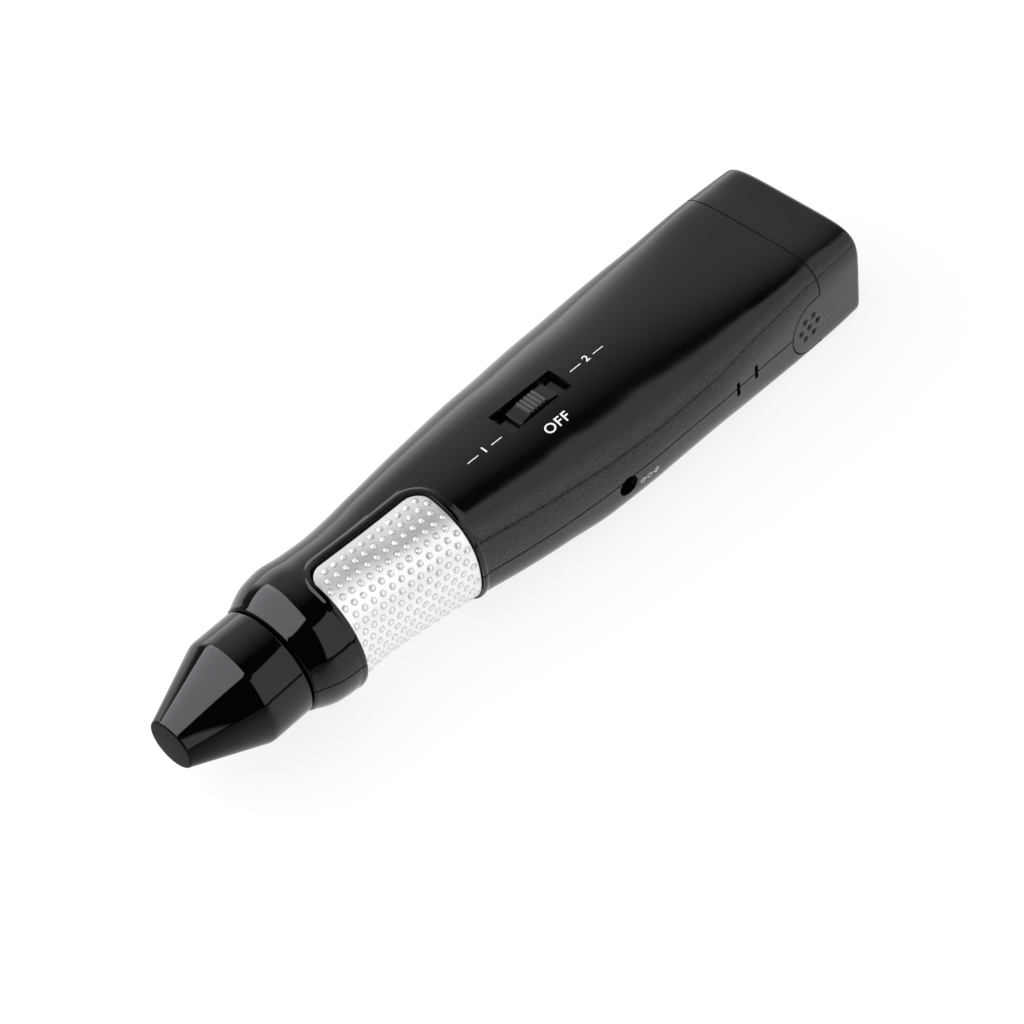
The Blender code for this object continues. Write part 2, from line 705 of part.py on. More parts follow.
# Case blank: the whole hollow case before it is parted into an upper and a lower shell.
ring_shares = list(COLLAR_RING_SHARES)
first_behind = ring_shares[-1]
for i in range(1, RINGS_BEHIND + 1):
    ring_shares.append(first_behind + (1 - first_behind) * i / RINGS_BEHIND)
outer_xs = [along(s) for s in ring_shares]
case_blank = loft("case_blank", [ring(x) for x in outer_xs])
skin = loft("skin", [ring(x, BITE) for x in outer_xs])
cavity_front = COLLAR_FRONT + END_WALL
cavity_xs = [cavity_front] + [x for x in outer_xs[4:-1:2] if x > cavity_front + WALL / 2]
cavity_xs = [x for x in cavity_xs if x < LENGTH - END_WALL - WALL] + [LENGTH + OVERRUN]
cavity = loft("cavity", [ring(x, WALL) for x in cavity_xs])

boolean(case_blank, cavity)
neck_hole = rod("neck_hole", (COLLAR_FRONT - OVERRUN, 0, NOSE_Z), (neck_rear + FLANGE, 0, NOSE_Z),
                neck + GAP, sides=TURNED_SIDES)
boolean(case_blank, neck_hole)

# Posts for the screws that hold the two shells together.
post_places = []
for x in (window_rear + POST_BEHIND_WINDOW, board_rear - POST_AHEAD_OF_BOARD_REAR):
    y = POST_Y_SHARE * section(x, WALL)[0]
    post_places += [(x, y), (x, -y)]
posts = rods("posts", [((x, y, -OVERRUN), (x, y, HEIGHT), POST_RADIUS) for x, y in post_places])
boolean(posts, skin, "INTERSECT")
boolean(case_blank, posts, "UNION")
screw_bores = []
for x, y in post_places:
    parting = section(x)[3]
    seat = parting - SCREW_DOWN
    screw_bores.append(((x, y, -OVERRUN), (x, y, seat), SCREW_HEAD_RADIUS + GAP))
bore_heads = rods("bore_heads", screw_bores)
bore_shanks = rods("bore_shanks", [
    ((x, y, section(x)[3] - SCREW_DOWN - OVERRUN), (x, y, section(x)[3] + SCREW_UP + 2 * GAP),
     SCREW_RADIUS + GAP) for x, y in post_places])

# Tray under the switch pocket.
switch_x = along(SWITCH_X_SHARE)
pocket_top = top_at(switch_x, 0)
pocket_floor = pocket_top - POCKET_DEPTH
tray_bottom = pocket_floor - POCKET_FLOOR
tray_x = POCKET_LENGTH / 2 + POCKET_WALL
tray_y = POCKET_WIDTH / 2 + POCKET_WALL
tray = box("tray", (switch_x - tray_x, SWITCH_Y - tray_y, tray_bottom),
           (switch_x + tray_x, SWITCH_Y + tray_y, pocket_floor + POCKET_FLOOR))
boolean(case_blank, tray, "UNION")

# Raised rim round the touch plate's window: a round bead sunk in the surface. Its line runs
# from the front side over the top to the rear side, and back the same way underneath.
rim_out = RIM_RADIUS * RIM_TOP_SHARE
rim_front = WINDOW_FRONT - RIM_RADIUS * RIM_END_SHARE
rim_rear = window_rear + RIM_RADIUS * RIM_END_SHARE
rim_corner = WINDOW_CORNER + rim_out
corner_u = rim_corner - rim_out
half_line = arc(rim_front + rim_corner, corner_u, rim_corner, 180, 270, RIM_CORNER_STEPS)
run_start = rim_front + rim_corner
run_end = rim_rear - rim_corner
half_line += [(run_start + (run_end - run_start) * i / RIM_RUNS, -rim_out) for i in range(1, RIM_RUNS)]
half_line += arc(run_end, corner_u, rim_corner, 270, 360, RIM_CORNER_STEPS)


def on_surface(x, u):
    place, normal = wrapped(x, u)
    return place - normal * (RIM_RADIUS - RIM_RISE)


rim_points = [on_surface(x, u) for x, u in half_line]
for side_x, back in ((rim_rear, False), (rim_front, True)):
    if back:
        rim_points += [on_surface(x, girth(x) - u) for x, u in reversed(half_line)]
    for i in range(1, RIM_SIDE_STEPS):
        share = 1 - i / RIM_SIDE_STEPS if back else i / RIM_SIDE_STEPS
        rim_points.append(on_surface(side_x, corner_u + (girth(side_x) - 2 * corner_u) * share))
rim_curve = wire("rim_curve", rim_points, RIM_RADIUS, BLACK)
rim_curve.data.bevel_resolution = 2
rim_curve.data.splines[0].use_cyclic_u = True
rim = baked(rim_curve, "rim")
bpy.data.objects.remove(rim_curve, do_unlink=True)
rim_room_xs = [cavity_front + BITE] + [x for x in outer_xs[5:] if x < rim_rear] + [rim_rear + 2 * RIM_RADIUS]
rim_room = loft("rim_room", [ring(x, WALL - BITE) for x in rim_room_xs])
boolean(rim, rim_room)
boolean(case_blank, rim, "UNION")


def window_outline(gap):
    """Plan of the window, or of the plate in it: straight ends and rounded inner corners."""
    front, rear = WINDOW_FRONT + gap, window_rear - gap
    outer = -WIDTH / 2 - OVERRUN
    middle = WINDOW_OVER - gap - WINDOW_CORNER
    return ([(front, outer), (rear, outer)]
            + arc(rear - WINDOW_CORNER, middle, WINDOW_CORNER, 0, 90, WINDOW_CORNER_STEPS)
            + arc(front + WINDOW_CORNER, middle, WINDOW_CORNER, 90, 180, WINDOW_CORNER_STEPS))


window = prism("window", window_outline(0.0), "Z", -OVERRUN, HEIGHT + OVERRUN)
boolean(case_blank, window)

# Pocket for the switch knob, with sloping walls, and the slot for the knob's stem.
bm = bmesh.new()
bmesh.ops.create_cube(bm, size=1.0)
for vert in bm.verts:
    shrink = POCKET_SLOPE if vert.co.z < 0 else -POCKET_SLOPE * OVERRUN / POCKET_DEPTH
    vert.co.x = switch_x + math.copysign(POCKET_LENGTH / 2 - 2 * shrink, vert.co.x)
    vert.co.y = SWITCH_Y + math.copysign(POCKET_WIDTH / 2 - shrink, vert.co.y)
    vert.co.z = pocket_floor if vert.co.z < 0 else pocket_top + OVERRUN
pocket = add("pocket", mesh_from(bm, "pocket"))
boolean(case_blank, pocket)
slot_reach = STEM_LENGTH / 2 + KNOB_TRAVEL + GAP
stem_slot = box("stem_slot", (switch_x - slot_reach, SWITCH_Y - STEM_WIDTH / 2 - GAP, tray_bottom - GAP),
                (switch_x + slot_reach, SWITCH_Y + STEM_WIDTH / 2 + GAP, pocket_floor + GAP))
boolean(case_blank, stem_slot)

# Hole for the power plug and the two side slots.
jack_x = board_rear - JACK_AHEAD_OF_BOARD_REAR
jack_z = JACK_Z_SHARE * HEIGHT
jack_hole = rod("jack_hole", (jack_x, -WIDTH, jack_z), (jack_x, -WIDTH / 4, jack_z), JACK_HOLE)
boolean(case_blank, jack_hole)
for number, share in enumerate(SLOT_X_SHARES):
    x, z = along(share), SLOT_Z_SHARE * HEIGHT
    slot = box("side_slot_%d" % number, (x - SLOT_WIDTH / 2, -WIDTH, z - SLOT_HEIGHT / 2),
               (x + SLOT_WIDTH / 2, -WIDTH / 4, z + SLOT_HEIGHT / 2))
    boolean(case_blank, slot)

# The battery cover's seam and the notches for its two thumb tongues. From the round front on,
# their sides run straight back, so that the cover can slide off.
seam = along(SEAM_SHARE)
tongue_x = along(TONGUE_X_SHARE)
tongue_z = TONGUE_Z_SHARE * HEIGHT
rear_cut = box("rear_cut", (seam - GAP / 2, -WIDTH, -OVERRUN), (LENGTH + WIDTH, WIDTH, HEIGHT))
tongue_notch = rod("tongue_notch", (tongue_x, -WIDTH, tongue_z), (tongue_x, WIDTH, tongue_z),
                   TONGUE_RADIUS + GAP, sides=TURNED_SIDES)
notch_way = box("notch_way", (tongue_x, -WIDTH, tongue_z - TONGUE_RADIUS - GAP),
                (seam + OVERRUN, WIDTH, tongue_z + TONGUE_RADIUS + GAP))
boolean(case_blank, rear_cut)
boolean(case_blank, tongue_notch)
boolean(case_blank, notch_way)
boolean(case_blank, bore_heads)
boolean(case_blank, bore_shanks)

# The two shells, parted along a line that falls from the collar to the rear.
line_xs = [COLLAR_FRONT - 2 * OVERRUN] + [(a + b) / 2 for a, b in zip(outer_xs, outer_xs[1:])]
line_xs.append(LENGTH + OVERRUN)
side = WIDTH / 2 + OVERRUN
over_line = [(x, section(x)[3] - GAP / 2) for x in line_xs]
under_line = [(x, section(x)[3] + GAP / 2) for x in line_xs]
over_block = prism("over_block", over_line + [
    (line_xs[-1], HEIGHT + 2 * OVERRUN), (line_xs[0], HEIGHT + 2 * OVERRUN)], "Y", -side, side)
under_block = prism("under_block", under_line + [
    (line_xs[-1], -2 * OVERRUN), (line_xs[0], -2 * OVERRUN)], "Y", -side, side)
upper_shell = baked(case_blank, "upper_shell", BLACK)
lower_shell = baked(case_blank, "lower_shell", BLACK)
boolean(upper_shell, under_block, solver="MANIFOLD")
boolean(lower_shell, over_block, solver="MANIFOLD")

# Touch plate: sheet steel that follows the body's surface inside the window.
plate_xs = [x for x in outer_xs if WINDOW_FRONT - OVERRUN < x < window_rear + OVERRUN]
plate_xs = [WINDOW_FRONT - OVERRUN] + plate_xs + [window_rear + OVERRUN]
touch_plate = loft("touch_plate", [ring(x, PLATE_SINK) for x in plate_xs], STEEL)
plate_back = PLATE_SINK + PLATE_THICKNESS
inner_xs = [plate_xs[0] - OVERRUN] + plate_xs[1:-1] + [plate_xs[-1] + OVERRUN]
plate_core = loft("plate_core", [ring(x, plate_back) for x in inner_xs])
plate_plan = prism("plate_plan", window_outline(SLIDE_GAP), "Z", -OVERRUN, HEIGHT + OVERRUN)
boolean(touch_plate, plate_core)
boolean(touch_plate, plate_plan, "INTERSECT")

# Switch: a ribbed knob in the pocket, whose stem reaches into the switch on the board.
knob_low = pocket_floor + GAP
knob_half = POCKET_LENGTH / 2 - 2 * POCKET_SLOPE - KNOB_TRAVEL - GAP
knob_side = POCKET_WIDTH / 2 - POCKET_SLOPE - GAP
grip = KNOB_GRIP / 2
knob_outline = [(-knob_half, 0), (knob_half, 0), (knob_half, KNOB_THICKNESS), (grip, KNOB_RISE)]
for i in range(RIB_COUNT):
    rib_x = grip - KNOB_GRIP * (i + 0.5) / RIB_COUNT
    rib = KNOB_GRIP / RIB_COUNT
    crest = rib * RIB_CREST_SHARE / 2
    knob_outline += [(rib_x + crest, KNOB_RISE + RIB_HEIGHT), (rib_x - crest, KNOB_RISE + RIB_HEIGHT)]
    if i < RIB_COUNT - 1:
        knob_outline.append((rib_x - rib / 2, KNOB_RISE))
knob_outline += [(-grip, KNOB_RISE), (-knob_half, KNOB_THICKNESS)]
switch_knob = prism("switch_knob", [(switch_x + x, knob_low + z) for x, z in knob_outline], "Y",
                    SWITCH_Y - knob_side, SWITCH_Y + knob_side, DARK_GREY)
switch_top = tray_bottom - GAP
stem = box("stem", (switch_x - STEM_LENGTH / 2, SWITCH_Y - STEM_WIDTH / 2, switch_top - STEM_REACH),
           (switch_x + STEM_LENGTH / 2, SWITCH_Y + STEM_WIDTH / 2, knob_low + KNOB_THICKNESS / 2))
boolean(switch_knob, stem, "UNION")
switch_low = switch_top - SWITCH_HEIGHT
switch_body = box("switch_body", (switch_x - SWITCH_LENGTH / 2, SWITCH_Y - SWITCH_WIDTH / 2, switch_low),
                  (switch_x + SWITCH_LENGTH / 2, SWITCH_Y + SWITCH_WIDTH / 2, switch_top), SCREW_STEEL)
switch_slot = box("switch_slot",
                  (switch_x - slot_reach, SWITCH_Y - STEM_WIDTH / 2 - GAP, switch_top - STEM_REACH - GAP),
                  (switch_x + slot_reach, SWITCH_Y + STEM_WIDTH / 2 + GAP, switch_top + OVERRUN))
boolean(switch_body, switch_slot)

# Battery, its snap clip and leads.
battery_low = WALL + BATTERY_PLAY
battery_mid = battery_low + BATTERY_HEIGHT / 2
battery = box("battery", (battery_front, -BATTERY_WIDTH / 2, battery_low),
              (battery_rear, BATTERY_WIDTH / 2, battery_low + BATTERY_HEIGHT), DARK_GREY, edge=BATTERY_EDGE)
terminal_front = battery_front - TERMINAL_LENGTH
terminals = rods("terminals", [
    ((terminal_front, way * TERMINAL_PITCH / 2, battery_mid),
     (battery_front + BITE, way * TERMINAL_PITCH / 2, battery_mid), TERMINAL_RADIUS) for way in (1, -1)])
boolean(battery, terminals, "UNION")
battery_clip = box("battery_clip", (clip_front, -CLIP_WIDTH / 2, battery_mid - CLIP_HEIGHT / 2),
                   (clip_rear, CLIP_WIDTH / 2, battery_mid + CLIP_HEIGHT / 2), BLACK)
clip_bores = rods("clip_bores", [
    ((terminal_front - GAP, way * TERMINAL_PITCH / 2, battery_mid),
     (clip_rear + OVERRUN, way * TERMINAL_PITCH / 2, battery_mid), TERMINAL_RADIUS + GAP) for way in (1, -1)])
boolean(battery_clip, clip_bores)

# Main board under the switch, shaped to the case and cleared round the screw posts.
board_top = switch_low - GAP
board_low = board_top - BOARD_THICKNESS
board_xs = [BOARD_FRONT + (board_rear - BOARD_FRONT) * i / BOARD_STEPS for i in range(BOARD_STEPS + 1)]
edge_inset = WALL + BOARD_CLEARANCE


def board_half(x):
    """Half width of the board at x, clear of the case at its top and its underside."""
    return min(half_width(x, board_top, edge_inset), half_width(x, board_low, edge_inset))


board_edge = [(x, board_half(x)) for x in board_xs]
board_outline = [(x, -y) for x, y in board_edge] + [(x, y) for x, y in board_edge[::-1]]
main_board = prism("main_board", board_outline, "Z", board_low, board_top, BOARD_GREEN)
post_room = rods("post_room", [((x, y, 0), (x, y, HEIGHT), POST_RADIUS + 2 * GAP) for x, y in post_places])
boolean(main_board, post_room)

# Board posts stand on the lower shell; a small screw goes through the board into each.
board_posts, board_bores, board_holes, board_screw_ends = [], [], [], []
board_post_xs = (BOARD_FRONT + BOARD_POST_BEHIND_FRONT, window_rear + BOARD_POST_BEHIND_WINDOW,
                 board_rear - BOARD_POST_AHEAD_OF_REAR, board_rear - BOARD_POST_AHEAD_OF_REAR)
for x, share in zip(board_post_xs, BOARD_POST_Y_SHARES):
    y = share * board_half(x)
    foot = bottom_at(x, abs(y) + BOARD_POST_RADIUS) + WALL / 2
    post_top = board_low - GAP
    board_posts.append(((x, y, foot), (x, y, post_top), BOARD_POST_RADIUS))
    deep = board_top + GAP - BOARD_SCREW_LENGTH
    board_bores.append(((x, y, deep - GAP), (x, y, post_top + OVERRUN), BOARD_SCREW_RADIUS + GAP))
    board_holes.append(((x, y, board_low - OVERRUN), (x, y, board_top + OVERRUN), BOARD_SCREW_RADIUS + GAP))
    board_screw_ends.append((x, y, deep))
standing_posts = rods("standing_posts", board_posts)
standing_bores = rods("standing_bores", board_bores)
boolean(lower_shell, standing_posts, "UNION")
boolean(lower_shell, standing_bores)
boolean(main_board, rods("board_holes", board_holes))


def screw(name, x, y, low, high, radius, head_low, head_high, head_radius):
    """One screw: its shank from low to high, joined to its head."""
    shank = rod(name, (x, y, low), (x, y, high), radius, SCREW_STEEL, sides=12)
    head = rod(name + "_head", (x, y, head_low), (x, y, head_high), head_radius, sides=16)
    return boolean(shank, head, "UNION")


for number, (x, y, low) in enumerate(board_screw_ends, 1):
    head_low = board_top + GAP
    screw("board_screw_%d" % number, x, y, low, head_low + BITE, BOARD_SCREW_RADIUS,
          head_low, head_low + BOARD_SCREW_HEAD, BOARD_SCREW_HEAD_RADIUS)

for number, (x, y) in enumerate(post_places, 1):
    parting = section(x)[3]
    head_high = parting - SCREW_DOWN - GAP
    screw("shell_screw_%d" % number, x, y, head_high - BITE, parting + SCREW_UP, SCREW_RADIUS,
          head_high - SCREW_HEAD, head_high, SCREW_HEAD_RADIUS)

# What stands on the main board.
stand = board_top + GAP
buzzer_x = BOARD_FRONT + BUZZER_BEHIND_BOARD_FRONT
buzzer = rod("buzzer", (buzzer_x, 0, stand), (buzzer_x, 0, stand + BUZZER_HEIGHT), BUZZER_RADIUS, BLACK)
buzzer_hole = rod("buzzer_hole", (buzzer_x, 0, stand + BUZZER_HEIGHT / 2),
                  (buzzer_x, 0, stand + BUZZER_HEIGHT + OVERRUN), BUZZER_HOLE, sides=12)
boolean(buzzer, buzzer_hole)
chip_x = window_rear + CHIP_BEHIND_WINDOW
chip_y = CHIP_Y_SHARE * board_half(chip_x)
main_chip = box("main_chip", (chip_x - CHIP_SIZE / 2, chip_y - CHIP_SIZE / 2, stand),
                (chip_x + CHIP_SIZE / 2, chip_y + CHIP_SIZE / 2, stand + CHIP_HEIGHT), DARK_GREY)
capacitor_x = window_rear + CAPACITOR_BEHIND_WINDOW
capacitor_y = CAPACITOR_Y_SHARE * board_half(capacitor_x)
capacitor = rod("capacitor", (capacitor_x, capacitor_y, stand),
                (capacitor_x, capacitor_y, stand + CAPACITOR_HEIGHT), CAPACITOR_RADIUS, SCREW_STEEL)
regulator_x = board_rear - REGULATOR_AHEAD_OF_BOARD_REAR
regulator_y = REGULATOR_Y_SHARE * board_half(regulator_x)
regulator_low = (regulator_x - REGULATOR_LENGTH / 2, regulator_y - REGULATOR_WIDTH / 2, stand)
regulator_high = (regulator_x + REGULATOR_LENGTH / 2, regulator_y + REGULATOR_WIDTH / 2,
                  stand + REGULATOR_HEIGHT)
regulator = box("regulator", regulator_low, regulator_high, DARK_GREY)

# Plate contact: a bent strip on the board's edge that bears on the back of the touch plate.
contact_x = BOARD_FRONT + CONTACT_BEHIND_BOARD_FRONT
contact_out = CONTACT_THICKNESS - board_half(contact_x)
contact_top = top_at(contact_x, contact_out - CONTACT_THICKNESS, plate_back) - 2 * GAP
contact_low = stand
plate_contact = prism("plate_contact", [
    (contact_out, contact_low),
    (contact_out + CONTACT_FOOT, contact_low),
    (contact_out + CONTACT_FOOT, contact_low + CONTACT_THICKNESS),
    (contact_out + CONTACT_THICKNESS, contact_low + CONTACT_THICKNESS),
    (contact_out + CONTACT_THICKNESS, contact_top),
    (contact_out, contact_top),
], "X", contact_x - CONTACT_WIDTH / 2, contact_x + CONTACT_WIDTH / 2, BRASS)

# Power inlet: a socket under the board, its snout behind the hole in the case.
snout_out = -half_width(jack_x, jack_z - JACK_SNOUT, WALL) + GAP
jack_low = jack_z - JACK_SNOUT - BOARD_CLEARANCE * 2
jack_front = -half_width(jack_x, jack_low, WALL) + BOARD_CLEARANCE
dc_jack = box("dc_jack", (jack_x - JACK_WIDTH / 2, jack_front, jack_low),
              (jack_x + JACK_WIDTH / 2, jack_front + JACK_LENGTH, board_low - GAP), DARK_GREY)
snout = rod("snout", (jack_x, snout_out, jack_z), (jack_x, jack_front + BITE, jack_z), JACK_SNOUT)
jack_bore = rod("jack_bore", (jack_x, snout_out - OVERRUN, jack_z),
                (jack_x, snout_out + JACK_DEPTH, jack_z), JACK_BORE)
jack_pin = rod("jack_pin", (jack_x, snout_out + BITE, jack_z),
               (jack_x, snout_out + JACK_DEPTH + BITE, jack_z), JACK_PIN, sides=12)
boolean(dc_jack, snout, "UNION")
boolean(dc_jack, jack_bore)
boolean(dc_jack, jack_pin, "UNION")

# Ribbon from the nose board to the main board, in a soft S.
ribbon_start = NOSE_BOARD_X + NOSE_BOARD_THICKNESS + GAP
ribbon_end = BOARD_FRONT - GAP
ribbon_from = NOSE_Z - RIBBON_DROP
ribbon_to = board_top - BOARD_THICKNESS / 2
ribbon_line = []
for i in range(RIBBON_STEPS + 1):
    t = i / RIBBON_STEPS
    ribbon_line.append((ribbon_start + (ribbon_end - ribbon_start) * t,
                        ribbon_from + (ribbon_to - ribbon_from) * t * t * (3 - 2 * t)))
ribbon_outline = ([(x, z - RIBBON_THICKNESS / 2) for x, z in ribbon_line]
                  + [(x, z + RIBBON_THICKNESS / 2) for x, z in ribbon_line[::-1]])
ribbon_lead = prism("ribbon_lead", ribbon_outline, "Y", -RIBBON_WIDTH / 2, RIBBON_WIDTH / 2, WHITE)

# Battery leads from the clip up to the underside of the board.
lead_x = board_rear - 2 * BOARD_GAP
for name, way, look in (("lead_red", 1, RED), ("lead_black", -1, BLACK)):
    y = way * LEAD_Y
    start = clip_front - GAP
    route = blend([
        (start, y, battery_mid),
        (start - BOARD_GAP / 2, y, battery_mid),
        (lead_x + BOARD_GAP / 2, y, (battery_mid + board_low) / 2),
        (lead_x, y, board_low - BOARD_GAP / 2),
        (lead_x, y, board_low - GAP),
    ], LEAD_STEPS)
    wire(name, route, LEAD_RADIUS, look)

# Foam pad beside the battery.
pad_front = battery_front + BATTERY_LENGTH / 8
pad_in = BATTERY_WIDTH / 2 + GAP
battery_pad = box("battery_pad", (pad_front, pad_in, battery_mid - PAD_HEIGHT / 2),
                  (pad_front + PAD_LENGTH, pad_in + PAD_THICKNESS, battery_mid + PAD_HEIGHT / 2), FOAM)

# Battery cover: the rear end of the case with two round thumb tongues that reach forward.
cover_start = tongue_x - TONGUE_RADIUS - OVERRUN
cover_xs = [cover_start] + [x for x in outer_xs if cover_start < x < LENGTH - REAR_EDGE - GAP]
cover_rings = [ring(x) for x in cover_xs] + [ring(LENGTH - REAR_EDGE)]
for degrees in (30, 60, 90):
    a = math.radians(degrees)
    x = LENGTH - REAR_EDGE * (1 - math.sin(a))
    drawn_in = REAR_EDGE * (1 - math.cos(a))
    cover_rings.append(ring(x, drawn_in, rear=True))
battery_cover = loft("battery_cover", cover_rings, BLACK)
cup_xs = [cover_start - OVERRUN] + cover_xs[1:] + [LENGTH - END_WALL]
cup_hollow = loft("cup_hollow", [ring(x, WALL) for x in cup_xs])
boolean(battery_cover, cup_hollow)
# Its underside stands clear of the table, so the case rests on the lower shell's flat alone.
relief_cut = box("relief_cut", (cover_start - OVERRUN, -WIDTH, -OVERRUN),
                 (LENGTH + OVERRUN, WIDTH, COVER_RELIEF))
boolean(battery_cover, relief_cut)
cover_front_cut = box("cover_front_cut", (cover_start - 2 * OVERRUN, -WIDTH, -OVERRUN),
                      (seam + GAP / 2, WIDTH, HEIGHT))
tongue_body = rod("tongue_body", (tongue_x, -2 * WIDTH, tongue_z), (tongue_x, 2 * WIDTH, tongue_z),
                  TONGUE_RADIUS, sides=TURNED_SIDES)
tongue_neck = box("tongue_neck", (tongue_x, -2 * WIDTH, tongue_z - TONGUE_RADIUS),
                  (seam + OVERRUN, 2 * WIDTH, tongue_z + TONGUE_RADIUS))
boolean(cover_front_cut, tongue_body)
boolean(cover_front_cut, tongue_neck)
boolean(battery_cover, cover_front_cut)
grips = []
for i in range(GRIPS_AROUND + 1):
    angle = 2 * math.pi * i / GRIPS_AROUND
    reach = GRIP_PITCH if i < GRIPS_AROUND else 0.0
    x = tongue_x - GRIP_RADIUS + reach * math.cos(angle)
    z = tongue_z + reach * math.sin(angle)
    for way in (1, -1):
        y = half_width(x, z)
        grips.append(((x, way * (y - 2 * BITE), z), (x, way * (y + BITE), z), GRIP_RADIUS))
grip_bumps = rods("grip_bumps", grips, sides=12)
boolean(battery_cover, grip_bumps, "UNION")
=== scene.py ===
"""Looks of a hand-held diamond tester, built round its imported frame.

Metres, +Z up, nose toward -X. The origin is at the middle of the box that the tester rests in.
"""
import math

import bmesh
import bpy
from mathutils import Matrix, Vector


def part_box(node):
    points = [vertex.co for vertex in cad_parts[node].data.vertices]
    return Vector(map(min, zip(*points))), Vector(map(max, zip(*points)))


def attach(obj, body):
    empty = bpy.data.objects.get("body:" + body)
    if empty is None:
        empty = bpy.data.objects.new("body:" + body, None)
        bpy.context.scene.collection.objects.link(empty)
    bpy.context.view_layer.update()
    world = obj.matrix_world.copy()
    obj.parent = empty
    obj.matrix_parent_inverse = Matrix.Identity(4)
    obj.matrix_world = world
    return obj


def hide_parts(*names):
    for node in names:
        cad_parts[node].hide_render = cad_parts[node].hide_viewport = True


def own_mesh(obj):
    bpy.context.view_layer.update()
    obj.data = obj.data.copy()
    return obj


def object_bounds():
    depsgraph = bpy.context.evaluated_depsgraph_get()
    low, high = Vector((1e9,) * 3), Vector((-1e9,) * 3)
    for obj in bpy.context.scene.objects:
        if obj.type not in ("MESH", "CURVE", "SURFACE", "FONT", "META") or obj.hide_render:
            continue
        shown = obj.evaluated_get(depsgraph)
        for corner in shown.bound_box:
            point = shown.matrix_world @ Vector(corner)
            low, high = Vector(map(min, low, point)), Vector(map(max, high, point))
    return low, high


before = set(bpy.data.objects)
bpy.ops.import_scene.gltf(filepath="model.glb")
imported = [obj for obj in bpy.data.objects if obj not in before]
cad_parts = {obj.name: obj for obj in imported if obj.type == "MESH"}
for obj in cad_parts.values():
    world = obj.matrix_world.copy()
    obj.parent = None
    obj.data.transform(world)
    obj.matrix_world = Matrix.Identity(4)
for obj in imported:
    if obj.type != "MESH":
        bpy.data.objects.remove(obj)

cad_low, cad_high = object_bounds()

# Case shells
# Two halves injection-moulded in black ABS. The mould is polished at the collar and round the
# touch plate's window, and spark-eroded to a fine even grain everywhere else.
width = cad_high.y - cad_low.y
height = 0.0294
wall = 0.0016
end_wall = 0.0018
part_gap = 0.0003
nose_share = 0.5204
nose_z = nose_share * height
collar_front = cad_low.x + 0.0248
waist = cad_low.x + 0.0385
case_steps = 150
case_sides = 88
# The sections lie closer together toward the collar, where the shape changes fastest.
case_crowding = 1.35
bore_sides = 96
# How far a cutting shape runs past what it cuts, and how near points count as one.
over = 0.002
weld = 1e-6
# An inset outline is squarer than the skin, so that the wall keeps its thickness at the corners.
inset_squaring = 0.12
# Place from collar front to rear end, half width over half the width, top, bottom and parting
# height over the height, and the roundness of the upper and lower half: 2 is an ellipse.
section_shares = (
    (0.0000, 0.574, 0.901, 0.139, 0.520, 2.00, 2.0),
    (0.0010, 0.592, 0.912, 0.128, 0.520, 2.00, 2.0),
    (0.0080, 0.617, 0.929, 0.111, 0.520, 2.00, 2.0),
    (0.0150, 0.642, 0.946, 0.094, 0.520, 2.00, 2.0),
    (0.0213, 0.664, 0.960, 0.080, 0.520, 2.00, 2.0),
    (0.0280, 0.683, 0.973, 0.067, 0.520, 2.00, 2.0),
    (0.0372, 0.703, 0.986, 0.054, 0.520, 2.00, 2.0),
    (0.0634, 0.723, 1.000, 0.041, 0.520, 2.00, 2.0),
    (0.0895, 0.682, 0.986, 0.053, 0.510, 2.10, 2.0),
    (0.1315, 0.667, 0.969, 0.058, 0.497, 2.10, 2.0),
    (0.1811, 0.687, 0.951, 0.061, 0.480, 2.20, 2.2),
    (0.2307, 0.720, 0.939, 0.060, 0.463, 2.40, 2.4),
    (0.2865, 0.780, 0.930, 0.049, 0.444, 2.40, 2.5),
    (0.3499, 0.849, 0.918, 0.027, 0.422, 2.35, 2.7),
    (0.4201, 0.913, 0.900, 0.000, 0.407, 2.30, 2.8),
    (0.4979, 0.962, 0.886, -0.010, 0.400, 2.15, 3.3),
    (0.5895, 0.997, 0.866, -0.010, 0.400, 2.15, 3.3),
    (0.6880, 1.000, 0.832, -0.010, 0.390, 2.40, 3.4),
    (0.8003, 0.959, 0.789, -0.010, 0.347, 3.30, 4.9),
    (0.9098, 0.923, 0.755, -0.010, 0.293, 5.00, 7.3),
    (0.9552, 0.908, 0.736, -0.010, 0.274, 5.60, 8.2),
    (1.0000, 0.887, 0.727, -0.010, 0.259, 6.00, 8.8),
)


def along(share):
    """The X of a place between the collar's front and the rear end."""
    return collar_front + share * (cad_high.x - collar_front)


def column(index, share):
    """One column of the sections, read smoothly without overshoot between its rows."""
    xs = [row[0] for row in section_shares]
    ys = [row[index] for row in section_shares]
    share = min(max(share, xs[0]), xs[-1])
    steps = [b - a for a, b in zip(xs, xs[1:])]
    slopes = [(b - a) / s for a, b, s in zip(ys, ys[1:], steps)]
    tangents = [slopes[0]]
    for i in range(1, len(slopes)):
        before, after = slopes[i - 1], slopes[i]
        if before * after <= 0:
            tangents.append(0.0)
        else:
            w1 = 2 * steps[i] + steps[i - 1]
            w2 = steps[i] + 2 * steps[i - 1]
            tangents.append((w1 + w2) / (w1 / before + w2 / after))
    tangents.append(slopes[-1])
    i = 0
    while i < len(steps) - 1 and share > xs[i + 1]:
        i += 1
    t = (share - xs[i]) / steps[i]
    return ((2 * t ** 3 - 3 * t ** 2 + 1) * ys[i] + (t ** 3 - 2 * t ** 2 + t) * steps[i] * tangents[i]
            + (3 * t ** 2 - 2 * t ** 3) * ys[i + 1] + (t ** 3 - t ** 2) * steps[i] * tangents[i + 1])


